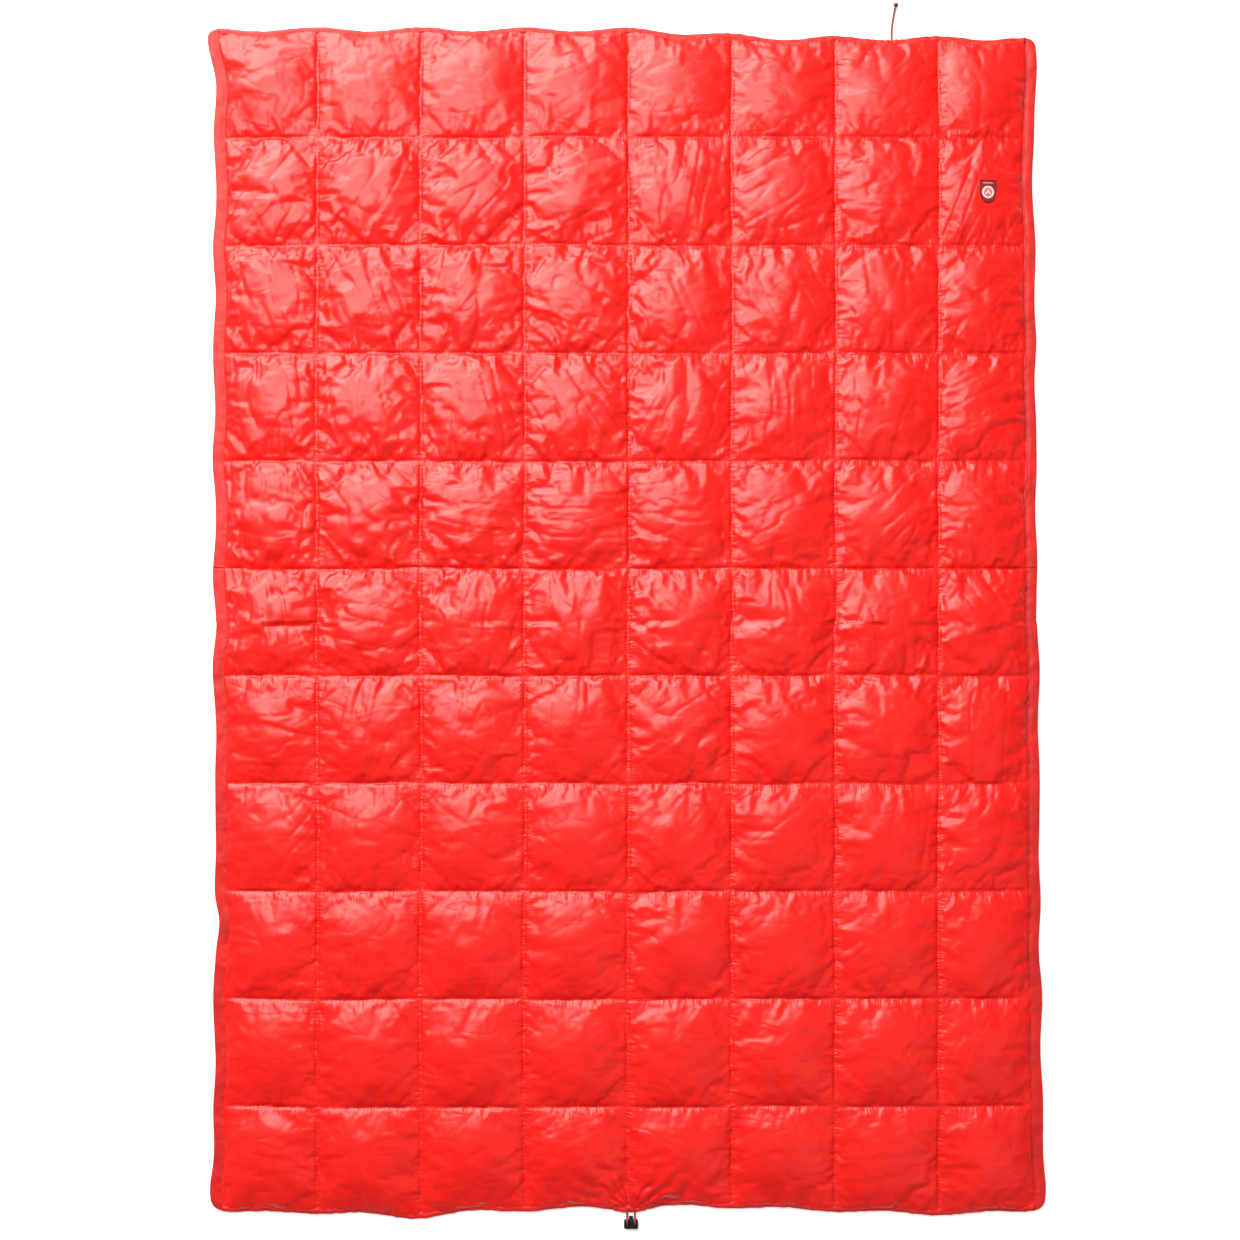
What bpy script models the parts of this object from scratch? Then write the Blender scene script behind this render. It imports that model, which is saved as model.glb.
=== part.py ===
"""Down camp quilt, sewn through into 8 columns and 11 rows of cells, lying flat with its face up.

Frame: +X across the width, +Y towards the head, +Z up. The origin is on the ground, under the middle of
the quilt. The quilt folds along two of its crosswise seams, and it has a drawcord in its head hem and one
in its foot hem, whose two ends meet in a cord lock.
"""

import math

import bmesh
import bpy
from mathutils import Matrix, Vector

for old in list(bpy.data.objects):
    bpy.data.objects.remove(old)

MM = 0.001

# ---- the quilt's driving sizes
WIDTH = 1.400
LENGTH = 2.000
COLUMNS = 8
ROWS = 11
HEAD_FLAP_ROWS = 2
FOOT_FLAP_ROWS = 3

# ---- loft
FACE_TOP = 32.0 * MM
SEAM_HEIGHT = 11.0 * MM
CLOTH = 0.6 * MM
SEAM_GAP = 1.1 * MM
SHOULDER = 0.25
FILL_SHARE = 0.68
FILL_WEB = 0.5 * MM

# ---- hems
SIDE_HEM_WIDTH = 20.0 * MM
SIDE_HEM_THICKNESS = 4.1 * MM
SIDE_HEM_TUCK = 12.0 * MM
HEAD_CORNER_RADIUS = 17.0 * MM
FOOT_CORNER_RADIUS = 19.0 * MM
END_HEM_WIDTH = 12.0 * MM
END_HEM_TUCK = 4.0 * MM
HEM_WALL = 0.6 * MM
HEM_FOOTING = 0.1 * MM
TUNNEL_SLACK = 0.5 * MM

# ---- clearances
GAP = 0.3 * MM
FOLD_GAP = 0.4 * MM
HEM_EDGE_GAP = 0.5 * MM
FOLD_CLEARANCE = 0.5 * MM

# ---- stitching
THREAD_WIDTH = 0.8 * MM
THREAD_HEIGHT = 0.5 * MM
THREAD_LIFT = 0.5 * MM
HEM_STITCH_INSET = 4.0 * MM
END_STITCH_INSET = 2.5 * MM

# ---- drawcords
CORD_DIAMETER = 3.6 * MM
CORD_HOLE_CLEARANCE = 0.4 * MM
CORD_END_INSET = 40.0 * MM
TAIL_EXIT_INSET = 253.8 * MM
KNOT_DIAMETER = 8.6 * MM
# the free end's route and its knot's centre, in mm from where the cord leaves the head hem
TAIL_ROUTE = (
    (0.0, 0.3, 0.0),
    (0.4, 5.0, -0.1),
    (1.1, 11.0, -0.6),
    (2.1, 18.0, -0.9),
    (3.4, 25.5, -0.9),
    (4.6, 32.0, -0.4),
    (5.6, 37.0, 0.5),
    (6.1, 39.8, 1.2),
)
KNOT_PLACE = (6.9, 44.5, 1.7)

# ---- cord lock
LOCK_X = 5.0 * MM
LOCK_WIDTH = 24.0 * MM
LOCK_HEIGHT = 7.0 * MM
LOCK_OFFSET = 11.5 * MM
LOCK_WALL = 1.2 * MM
LOCK_CORNER = 3.0 * MM
POCKET_CHAMFER = 0.8 * MM
LOCK_EDGE = 0.8 * MM
PLATE_PLAY = 1.2 * MM
BUTTON_TRAVEL = 2.0 * MM
STEM_TO_STRAND = 1.7 * MM
CAP_TO_STRAND = 1.1 * MM
BUTTON_CAP_LENGTH = 2.2 * MM
BUTTON_REACH = 5.5 * MM
BUTTON_LIFT = 0.4 * MM
SLOT_MARGIN = 1.0 * MM
SPRING_SPACE = 4.7 * MM
SPRING_PLAY = 0.2 * MM
SPRING_WIRE = 0.5 * MM
SPRING_TURNS = 3
SWING_CLEARANCE = 0.8 * MM

# ---- label
LABEL_ROW = 2
LABEL_SHIFT = (2.5 * MM, -3.5 * MM)
LABEL_WIDTH = 29.0 * MM
LABEL_HEIGHT = 38.0 * MM
LABEL_THICKNESS = 0.6 * MM
LABEL_TRIM = 0.4 * MM
LABEL_STITCH_INSET = 1.6 * MM
EMBLEM_DIAMETER = 21.0 * MM
EMBLEM_DROP = 1.5 * MM
BAR_WIDTH = 17.0 * MM
BAR_HEIGHT = 2.6 * MM
BAR_FROM_TOP = 5.0 * MM

# ---- worked out
COLUMN = WIDTH / COLUMNS
ROW = LENGTH / ROWS
CORD_HOLE_DIAMETER = CORD_DIAMETER + 2 * CORD_HOLE_CLEARANCE
END_HEM_THICKNESS = CORD_DIAMETER + 2 * (HEM_WALL + TUNNEL_SLACK)
HEM_HEIGHT = END_HEM_THICKNESS / 2 + HEM_FOOTING
CORD_INSET = (END_HEM_WIDTH - END_HEM_TUCK + HEM_WALL) / 2
CORD_BEND_RADIUS = CORD_INSET - HEM_WALL
TAIL_EXIT_X = WIDTH / 2 - TAIL_EXIT_INSET
SLOT_WIDTH = CORD_DIAMETER + 2 * GAP
SLOT_LENGTH = SLOT_WIDTH + BUTTON_TRAVEL
PLATE_LENGTH = SLOT_LENGTH + 2 * SLOT_MARGIN
PLATE_HALF_WIDTH = LOCK_WIDTH / 2 - LOCK_WALL - PLATE_PLAY
STRAND_HALF_SPACING = PLATE_HALF_WIDTH - SLOT_MARGIN - SLOT_WIDTH / 2
LOCK_DEPTH = 2 * LOCK_WALL + GAP + PLATE_LENGTH + SPRING_SPACE
PLATE_THICKNESS = LOCK_HEIGHT - 2 * (LOCK_WALL + BUTTON_LIFT)
SWING_PIVOT_OFFSET = CORD_DIAMETER / 2 + SWING_CLEARANCE
HEAD_FOLD_Y = LENGTH / 2 - HEAD_FLAP_ROWS * ROW
FOOT_FOLD_Y = -LENGTH / 2 + FOOT_FLAP_ROWS * ROW
CELL_X = WIDTH / 2 - SIDE_HEM_WIDTH - HEM_EDGE_GAP
CELL_Y = LENGTH / 2 - END_HEM_WIDTH - HEM_EDGE_GAP
LABEL_CENTRE = (
    (CELL_X + WIDTH / 2 - COLUMN) / 2 + LABEL_SHIFT[0],
    LENGTH / 2 - (LABEL_ROW - 0.5) * ROW + LABEL_SHIFT[1],
)
LABEL_STACK = GAP + LABEL_THICKNESS + GAP + LABEL_TRIM
FOLD_AXIS_Z = FACE_TOP + LABEL_STACK / 2 + FOLD_CLEARANCE
PANELS = {
    "head": (HEAD_FOLD_Y, LENGTH / 2),
    "middle": (FOOT_FOLD_Y, HEAD_FOLD_Y),
    "foot": (-LENGTH / 2, FOOT_FOLD_Y),
}


# ---------------------------------------------------------------- materials
def material(name, colour, roughness, metallic=0.0):
    mat = bpy.data.materials.get(name) or bpy.data.materials.new(name)
    mat.use_nodes = True
    shader = mat.node_tree.nodes["Principled BSDF"]
    shader.inputs["Base Color"].default_value = (*colour, 1.0)
    shader.inputs["Roughness"].default_value = roughness
    shader.inputs["Metallic"].default_value = metallic
    return mat


FACE_NYLON = material("face_nylon", (0.87, 0.015, 0.012), 0.35)
LINING_NYLON = material("lining_nylon", (0.62, 0.012, 0.012), 0.4)
HEM_NYLON = material("hem_nylon", (0.85, 0.014, 0.012), 0.4)
DOWN = material("white_down", (0.85, 0.83, 0.79), 0.95)
THREAD = material("polyester_thread", (0.45, 0.010, 0.012), 0.7)
CORD_BRAID = material("braided_cord", (0.42, 0.02, 0.03), 0.8)
BLACK_ACETAL = material("black_acetal", (0.015, 0.015, 0.016), 0.4)
SPRING_STEEL = material("spring_steel", (0.6, 0.6, 0.6), 0.3, 1.0)
LABEL_CLOTH = material("label_cloth", (0.30, 0.008, 0.015), 0.7)
LABEL_PRINT = material("label_print", (0.85, 0.62, 0.60), 0.6)


# ---------------------------------------------------------------- small tools
def object_from(name, bm, mat, origin=(0.0, 0.0, 0.0), smooth=None):
    """One named object from a bmesh in world space, with its origin moved to where it turns or sits."""
    bmesh.ops.recalc_face_normals(bm, faces=bm.faces[:])
    bm.transform(Matrix.Translation(-Vector(origin)))
    mesh = bpy.data.meshes.new(name)
    bm.to_mesh(mesh)
    bm.free()
    if smooth is not None:
        mesh.shade_smooth()
        mesh.set_sharp_from_angle(angle=math.radians(smooth))
    mesh.materials.append(mat)
    obj = bpy.data.objects.new(name, mesh)
    obj.location = origin
    bpy.context.collection.objects.link(obj)
    return obj


def empty(name, place):
    """A joint's axis marker, which its moving pieces are parented to."""
    marker = bpy.data.objects.new(name, None)
    marker.location = place
    bpy.context.collection.objects.link(marker)
    return marker


def hang_on(marker, obj):
    """Parents obj to a marker and keeps it where it is."""
    obj.parent = marker
    obj.matrix_parent_inverse = Matrix.Translation(-marker.location)


def cut(obj, cutter):
    """Takes cutter's shape out of obj."""
    cutter.hide_render = True
    cutter.display_type = "WIRE"
    boolean = obj.modifiers.new(f"cut_{cutter.name}", "BOOLEAN")
    boolean.operation = "DIFFERENCE"
    boolean.solver = "EXACT"
    boolean.object = cutter


def add_box(bm, low, high):
    """A box between two corners."""
    centre = [(a + b) / 2 for a, b in zip(low, high)]
    size = [b - a for a, b in zip(low, high)]
    place = Matrix.Translation(centre) @ Matrix.Diagonal((*size, 1.0))
    bmesh.ops.create_cube(bm, size=1.0, matrix=place)


def add_prism(bm, outline, z_low, z_high):
    """A plan outline raised from z_low to z_high."""
    verts = [bm.verts.new((x, y, z_low)) for x, y in outline]
    base = bm.faces.new(verts)
    raised = bmesh.ops.extrude_face_region(bm, geom=[base])
    top = [v for v in raised["geom"] if isinstance(v, bmesh.types.BMVert)]
    bmesh.ops.translate(bm, verts=top, vec=(0, 0, z_high - z_low))


def add_cylinder(bm, centre, radius, length, axis="Z", sides=24):
    """A round bar, centred, along Y or Z."""
    turn = Matrix.Rotation(math.pi / 2, 4, "X") if axis == "Y" else Matrix.Identity(4)
    place = Matrix.Translation(centre) @ turn
    bmesh.ops.create_cone(
        bm, cap_ends=True, segments=sides, radius1=radius, radius2=radius, depth=length, matrix=place
    )


def rounded_rectangle(centre, size, radii, steps=5):
    """The plan outline of a rectangle, anticlockwise from its +X +Y corner; radii has one value a corner."""
    points = []
    corners = ((1, 1), (-1, 1), (-1, -1), (1, -1))
    for turn, ((sx, sy), radius) in enumerate(zip(corners, radii)):
        cx = centre[0] + sx * (size[0] / 2 - radius)
        cy = centre[1] + sy * (size[1] / 2 - radius)
        if radius == 0:
            points.append((cx, cy))
            continue
        for step in range(steps + 1):
            angle = math.radians(90 * turn + 90 * step / steps)
            points.append((cx + radius * math.cos(angle), cy + radius * math.sin(angle)))
    return points


def smooth_route(points, spacing):
    """Points at about the given spacing along the smooth curve (Catmull-Rom) through a route's points."""
    route = [Vector(p) for p in points]
    route = [2 * route[0] - route[1], *route, 2 * route[-1] - route[-2]]
    out = []
    for a, b, c, d in zip(route, route[1:], route[2:], route[3:]):
        steps = max(1, round((c - b).length / spacing))
        for step in range(steps):
            t = step / steps
            out.append(
                0.5 * (2 * b + (c - a) * t + (2 * a - 5 * b + 4 * c - d) * t**2
                       + (3 * b - a - 3 * c + d) * t**3)
            )
    return [*out, route[-2]]


def tube(name, points, diameter, mat, resolution=2):
    """A round cord along points, with closed ends."""
    curve = bpy.data.curves.new(name, "CURVE")
    curve.dimensions = "3D"
    curve.bevel_depth = diameter / 2
    curve.bevel_resolution = resolution
    curve.use_fill_caps = True
    spline = curve.splines.new("POLY")
    spline.points.add(len(points) - 1)
    for point, place in zip(spline.points, points):
        point.co = (*place, 1.0)
    curve.materials.append(mat)
    obj = bpy.data.objects.new(name, curve)
    bpy.context.collection.objects.link(obj)
    return obj


# ---------------------------------------------------------------- the cells' shape
def seam_plane(x, y):
    """Height of the sewing plane: level over the quilt, and coming down to the hems in the outer cells."""
    across = (CELL_X - abs(x)) / (CELL_X - (WIDTH / 2 - COLUMN))
    along = (CELL_Y - abs(y)) / (CELL_Y - (LENGTH / 2 - ROW))
    return HEM_HEIGHT + (SEAM_HEIGHT - HEM_HEIGHT) * max(0.0, min(1.0, across, along))


def seam_lines(half, limit, count):
    """The seams between count equal cells over -half..half, closed by the hems' edges at +-limit."""
    step = 2 * half / count
    return [-limit, *[-half + step * k for k in range(1, count)], limit]


def knots(lines):
    """[(position, is it on a plateau)] along a row of cells: each seam, and the shoulders in between."""
    out = [(lines[0], False)]
    for a, b in zip(lines, lines[1:]):
        out += [(a + (b - a) * SHOULDER, True), (b - (b - a) * SHOULDER, True), (b, False)]
    return out


def panel_rows(panel, inset):
    """The crosswise lines of one panel: its seams, its fold edges less inset, and its hem edge."""
    low, high = PANELS[panel]
    lines = [y for y in seam_lines(LENGTH / 2, CELL_Y, ROWS) if low - MM < y < high + MM]
    if panel != "foot":
        lines[0] = low + inset
    if panel != "head":
        lines[-1] = high - inset
    return lines


def split_quad(face, place):
    """Splits a quad through its one raised corner, or else outwards from the corner nearest the middle."""
    corners = list(face.verts)
    raised = [v for v in corners if place[v][2]]
    if len(raised) == 1:
        start = raised[0]
    else:
        start = min(corners, key=lambda v: abs(v.co.x) + abs(v.co.y) + (v.co.x + v.co.y) / 1000)
    far = corners[(corners.index(start) + 2) % 4]
    bmesh.utils.face_split(face, start, far)


def pillow(name, xs, ys, first, second, mat):
    """A quilted layer over knots xs and ys, between two heights that are each a function of a knot."""
    bm = bmesh.new()
    bmesh.ops.create_grid(bm, x_segments=len(xs) - 1, y_segments=len(ys) - 1, size=0.5)
    place = {}
    for vert in bm.verts:
        i = round((vert.co.x + 0.5) * (len(xs) - 1))
        j = round((vert.co.y + 0.5) * (len(ys) - 1))
        place[vert] = (xs[i][0], ys[j][0], xs[i][1] and ys[j][1])
    for vert, (x, y, raised) in place.items():
        vert.co = (x, y, first(x, y, raised))
    for face in bm.faces[:]:
        split_quad(face, place)
    sheet = {(round(v.co.x, 7), round(v.co.y, 7)): place[v] for v in bm.verts}
    grown = bmesh.ops.extrude_face_region(bm, geom=bm.faces[:])
    for vert in grown["geom"]:
        if isinstance(vert, bmesh.types.BMVert):
            x, y, raised = sheet[round(vert.co.x, 7), round(vert.co.y, 7)]
            vert.co.z = second(x, y, raised)
    return object_from(name, bm, mat)


def cloth_knots(lines, tuck, ends):
    """Knots of a cloth layer, with a flat margin that runs into the hem at each end named in ends."""
    out = knots(lines)
    if "low" in ends:
        out.insert(0, (lines[0] - HEM_EDGE_GAP - tuck, False))
    if "high" in ends:
        out.append((lines[-1] + HEM_EDGE_GAP + tuck, False))
    return out


def face_under(x, y, raised):
    return FACE_TOP - CLOTH if raised else seam_plane(x, y) + SEAM_GAP / 2


def lining_over(x, y, raised):
    return CLOTH if raised else seam_plane(x, y) - SEAM_GAP / 2


def fill_top(x, y, raised):
    if raised:
        return SEAM_HEIGHT + FILL_SHARE * (FACE_TOP - CLOTH - SEAM_HEIGHT)
    return seam_plane(x, y) + FILL_WEB / 2


def fill_under(x, y, raised):
    if raised:
        return SEAM_HEIGHT - FILL_SHARE * (SEAM_HEIGHT - CLOTH)
    return seam_plane(x, y) - FILL_WEB / 2


def make_cloth():
    """The face fabric and the lining, each in three panels that meet at the two fold seams."""
    columns = cloth_knots(seam_lines(WIDTH / 2, CELL_X, COLUMNS), SIDE_HEM_TUCK, ("low", "high"))
    made = {}
    for panel in PANELS:
        hem_ends = {"head": ("high",), "middle": (), "foot": ("low",)}[panel]
        rows = cloth_knots(panel_rows(panel, FOLD_GAP / 2), END_HEM_TUCK, hem_ends)
        face = pillow(
            f"face_fabric_{panel}", columns, rows, face_under,
            lambda x, y, up: face_under(x, y, up) + CLOTH, FACE_NYLON,
        )
        lining = pillow(
            f"lining_{panel}", columns, rows, lining_over,
            lambda x, y, up: lining_over(x, y, up) - CLOTH, LINING_NYLON,
        )
        made[panel] = [face, lining]
    return made


def make_fill():
    """One row of down clusters for each crosswise channel, row 1 at the head."""
    columns = knots(seam_lines(WIDTH / 2, CELL_X - GAP, COLUMNS))
    lines = seam_lines(LENGTH / 2, CELL_Y, ROWS)
    made = {panel: [] for panel in PANELS}
    for row in range(1, ROWS + 1):
        low, high = lines[ROWS - row], lines[ROWS - row + 1]
        rows = knots([low + GAP, high - GAP])
        fill = pillow(f"down_fill_row_{row:02d}", columns, rows, fill_top, fill_under, DOWN)
        middle = (low + high) / 2
        panel = next(p for p, (a, b) in PANELS.items() if a < middle < b)
        made[panel].append(fill)
    return made


# ---------------------------------------------------------------- hems
def make_side_hem(side, sign, panel):
    """A folded hem band along one side of one panel, with a slot that the edges of both cloths go into."""
    low, high = PANELS[panel]
    low += 0 if panel == "foot" else FOLD_GAP / 2
    high -= 0 if panel == "head" else FOLD_GAP / 2
    centre = (sign * (WIDTH / 2 - SIDE_HEM_WIDTH / 2), (low + high) / 2)
    largest = SIDE_HEM_WIDTH - MM
    head_radius = min(HEAD_CORNER_RADIUS, largest) if panel == "head" else 0
    foot_radius = min(FOOT_CORNER_RADIUS, largest) if panel == "foot" else 0
    radii = (
        head_radius if sign > 0 else 0,
        head_radius if sign < 0 else 0,
        foot_radius if sign < 0 else 0,
        foot_radius if sign > 0 else 0,
    )
    bm = bmesh.new()
    outline = rounded_rectangle(centre, (SIDE_HEM_WIDTH, high - low), radii)
    half = SIDE_HEM_THICKNESS / 2
    add_prism(bm, outline, HEM_HEIGHT - half, HEM_HEIGHT + half)
    name = f"side_hem_{side}_{panel}"
    hem = object_from(name, bm, HEM_NYLON)

    end_wall = END_HEM_WIDTH - END_HEM_TUCK - GAP
    slot_low = low + end_wall if panel == "foot" else low - MM
    slot_high = high - end_wall if panel == "head" else high + MM
    slot_half = half - HEM_WALL
    inner = WIDTH / 2 - SIDE_HEM_WIDTH
    xs = sorted((sign * (inner - MM), sign * (inner + SIDE_HEM_TUCK + GAP)))
    bm = bmesh.new()
    add_box(bm, (xs[0], slot_low, HEM_HEIGHT - slot_half), (xs[1], slot_high, HEM_HEIGHT + slot_half))
    cut(hem, object_from(f"cut_{name}", bm, HEM_NYLON))
    return hem


def make_end_hem(name, sign, exits):
    """The tunnel along the head or the foot edge: a channel, open inwards, with a hole for each cord end."""
    edge = LENGTH / 2
    half = END_HEM_THICKNESS / 2
    nose = half * 0.5
    inner = edge - END_HEM_WIDTH
    profile = [
        (inner, -half), (edge - nose, -half), (edge, -half + nose), (edge, half - nose), (edge - nose, half),
        (inner, half), (inner, half - HEM_WALL), (edge - nose, half - HEM_WALL),
        (edge - HEM_WALL, half - nose), (edge - HEM_WALL, -half + nose), (edge - nose, -half + HEM_WALL),
        (inner, -half + HEM_WALL),
    ]
    reach = WIDTH / 2 - SIDE_HEM_WIDTH - GAP
    bm = bmesh.new()
    verts = [bm.verts.new((-reach, sign * y, HEM_HEIGHT + z)) for y, z in profile]
    end = bm.faces.new(verts)
    drawn = bmesh.ops.extrude_face_region(bm, geom=[end])
    far = [v for v in drawn["geom"] if isinstance(v, bmesh.types.BMVert)]
    bmesh.ops.translate(bm, verts=far, vec=(2 * reach, 0, 0))
    hem = object_from(name, bm, HEM_NYLON)
    bm = bmesh.new()
    for x in exits:
        add_cylinder(
            bm, (x, sign * edge, HEM_HEIGHT), CORD_HOLE_DIAMETER / 2, 4 * HEM_WALL, "Y", sides=16
        )
    cut(hem, object_from(f"cut_{name}", bm, HEM_NYLON))
    return hem


# ---------------------------------------------------------------- stitching
def make_quilting(panel):
    """The quilting thread of one panel: every lengthwise and crosswise seam line, crossing in one lattice."""
    half = THREAD_WIDTH / 2
    x_end = CELL_X - GAP
    y_lines = panel_rows(panel, FOLD_GAP / 2)
    y_low = y_lines[0] + (GAP if panel == "foot" else 0)
    y_high = y_lines[-1] - (GAP if panel == "head" else 0)
    xs, ys = [(-x_end, False)], [(y_low, False)]
    for x in seam_lines(WIDTH / 2, CELL_X, COLUMNS)[1:-1]:
        xs += [(x - half, True), (x + half, False)]
    xs.append((x_end, False))
    if panel == "middle":
        ys = [(y_low, True), (y_low + THREAD_WIDTH, False)]
    for y in y_lines[1:-1]:
        ys += [(y - half, True), (y + half, False)]
    if panel == "middle":
        ys.append((y_high - THREAD_WIDTH, True))
    ys.append((y_high, False))
    bm = bmesh.new()
    bmesh.ops.create_grid(bm, x_segments=len(xs) - 1, y_segments=len(ys) - 1, size=0.5)
    spots = {}
    for vert in bm.verts:
        spots[vert] = (
            round((vert.co.x + 0.5) * (len(xs) - 1)), round((vert.co.y + 0.5) * (len(ys) - 1))
        )
    empty_faces = []
    for face in bm.faces:
        column = min(spots[v][0] for v in face.verts)
        row = min(spots[v][1] for v in face.verts)
        if not xs[column][1] and not ys[row][1]:
            empty_faces.append(face)
    for vert, (i, j) in spots.items():
        x, y = xs[i][0], ys[j][0]
        vert.co = (x, y, seam_plane(x, y) + SEAM_GAP / 2 + CLOTH + THREAD_LIFT)
    bmesh.ops.delete(bm, geom=empty_faces, context="FACES")
    bmesh.ops.triangulate(bm, faces=bm.faces[:], quad_method="SHORT_EDGE")
    grown = bmesh.ops.extrude_face_region(bm, geom=bm.faces[:])
    top = [v for v in grown["geom"] if isinstance(v, bmesh.types.BMVert)]
    bmesh.ops.translate(bm, verts=top, vec=(0, 0, THREAD_HEIGHT))
    return object_from(f"quilting_thread_{panel}", bm, THREAD)


def make_side_stitching(side, sign, panel):
    """The line of stitches that closes a side hem."""
    low, high = PANELS[panel]
    low += END_HEM_WIDTH if panel == "foot" else FOLD_GAP
    high -= END_HEM_WIDTH if panel == "head" else FOLD_GAP
    x = sign * (WIDTH / 2 - SIDE_HEM_WIDTH + HEM_STITCH_INSET)
    z = HEM_HEIGHT + SIDE_HEM_THICKNESS / 2 + GAP
    bm = bmesh.new()
    add_box(bm, (x - THREAD_WIDTH / 2, low, z), (x + THREAD_WIDTH / 2, high, z + THREAD_HEIGHT))
    return object_from(f"side_hem_stitching_{side}_{panel}", bm, THREAD)


def make_end_stitching(name, sign):
    """The line of stitches that closes the head or the foot tunnel."""
    y = sign * (LENGTH / 2 - END_HEM_WIDTH + END_STITCH_INSET)
    reach = WIDTH / 2 - SIDE_HEM_WIDTH - 2 * GAP
    z = HEM_HEIGHT + END_HEM_THICKNESS / 2 + GAP
    bm = bmesh.new()
    add_box(bm, (-reach, y - THREAD_WIDTH / 2, z), (reach, y + THREAD_WIDTH / 2, z + THREAD_HEIGHT))
    return object_from(name, bm, THREAD)


# ---------------------------------------------------------------- drawcords
def tunnel_cord(name, start_x, exit_x, sign):
    """A drawcord from its sewn end along the tunnel to its exit hole, flush with the hem's edge."""
    y = LENGTH / 2 - CORD_INSET
    way = math.copysign(1.0, exit_x - start_x)
    centre = exit_x - way * CORD_BEND_RADIUS
    points = [(start_x, sign * y, HEM_HEIGHT)]
    bend_steps = 5
    for step in range(bend_steps + 1):
        angle = math.radians(90 * step / bend_steps)
        points.append((
            centre + way * CORD_BEND_RADIUS * math.sin(angle),
            sign * (y + CORD_BEND_RADIUS * (1 - math.cos(angle))),
            HEM_HEIGHT,
        ))
    points.append((exit_x, sign * LENGTH / 2, HEM_HEIGHT))
    return tube(name, points, CORD_DIAMETER, CORD_BRAID)


def make_tail():
    """The free end of the head drawcord, lying on the ground, and the knot that stops it."""
    exit_point = Vector((TAIL_EXIT_X, LENGTH / 2, HEM_HEIGHT))
    route = [exit_point + Vector(point) * MM for point in TAIL_ROUTE]
    tail = tube("head_drawcord_tail", smooth_route(route, 2 * CORD_DIAMETER), CORD_DIAMETER, CORD_BRAID)
    bm = bmesh.new()
    knot_centre = exit_point + Vector(KNOT_PLACE) * MM
    stretch = Matrix.Diagonal((1.0, 0.94, 0.94, 1.0))
    place = Matrix.Translation(knot_centre) @ stretch
    bmesh.ops.create_uvsphere(bm, u_segments=16, v_segments=10, radius=KNOT_DIAMETER / 2, matrix=place)
    knot = object_from("head_drawcord_knot", bm, CORD_BRAID, knot_centre, smooth=60)
    return [tail, knot]


# ---------------------------------------------------------------- cord lock
def lock_frame():
    """Y of the lock's front, its back, its plunger plate's front, the strands' holes and the plate's back."""
    front = -LENGTH / 2 - LOCK_OFFSET
    plate_front = front - LOCK_WALL - GAP
    hole = plate_front - SLOT_MARGIN - BUTTON_TRAVEL - SLOT_WIDTH / 2
    return front, front - LOCK_DEPTH, plate_front, hole, plate_front - PLATE_LENGTH


def make_lock_body():
    """The lock's shell: a pocket for the plunger, a mouth for its stem and two upright holes for strands."""
    front, back, _, hole, _ = lock_frame()
    bm = bmesh.new()
    outline = rounded_rectangle(
        (LOCK_X, (front + back) / 2), (LOCK_WIDTH, LOCK_DEPTH), (LOCK_CORNER,) * 4, steps=6
    )
    add_prism(bm, outline, 0.0, LOCK_HEIGHT)
    rims = [e for e in bm.edges if abs(e.verts[0].co.z - e.verts[1].co.z) < MM / 10]
    bmesh.ops.bevel(
        bm, geom=rims, offset=LOCK_EDGE, offset_type="OFFSET", segments=2, profile=0.5, affect="EDGES",
        material=-1,
    )
    body = object_from("cord_lock_body", bm, BLACK_ACETAL, (LOCK_X, (front + back) / 2, 0.0), smooth=40)

    wing = LOCK_WIDTH / 2 - LOCK_WALL
    mouth = STRAND_HALF_SPACING - CORD_DIAMETER / 2 - STEM_TO_STRAND + GAP
    floor, roof = LOCK_WALL, LOCK_HEIGHT - LOCK_WALL
    corner = POCKET_CHAMFER
    inside = [
        (LOCK_X + mouth, front + MM), (LOCK_X - mouth, front + MM), (LOCK_X - mouth, front - LOCK_WALL),
        (LOCK_X - wing + corner, front - LOCK_WALL), (LOCK_X - wing, front - LOCK_WALL - corner),
        (LOCK_X - wing, back + LOCK_WALL + corner), (LOCK_X - wing + corner, back + LOCK_WALL),
        (LOCK_X + wing - corner, back + LOCK_WALL), (LOCK_X + wing, back + LOCK_WALL + corner),
        (LOCK_X + wing, front - LOCK_WALL - corner), (LOCK_X + wing - corner, front - LOCK_WALL),
        (LOCK_X + mouth, front - LOCK_WALL),
    ]
    bm = bmesh.new()
    add_prism(bm, inside, floor, roof)
    cut(body, object_from("cut_lock_pocket", bm, BLACK_ACETAL))
    bm = bmesh.new()
    for sign in (-1, 1):
        add_cylinder(
            bm, (LOCK_X + sign * STRAND_HALF_SPACING, hole, LOCK_HEIGHT / 2), CORD_HOLE_DIAMETER / 2,
            LOCK_HEIGHT + 2 * MM,
        )
    cut(body, object_from("cut_lock_holes", bm, BLACK_ACETAL))
    return body


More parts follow.
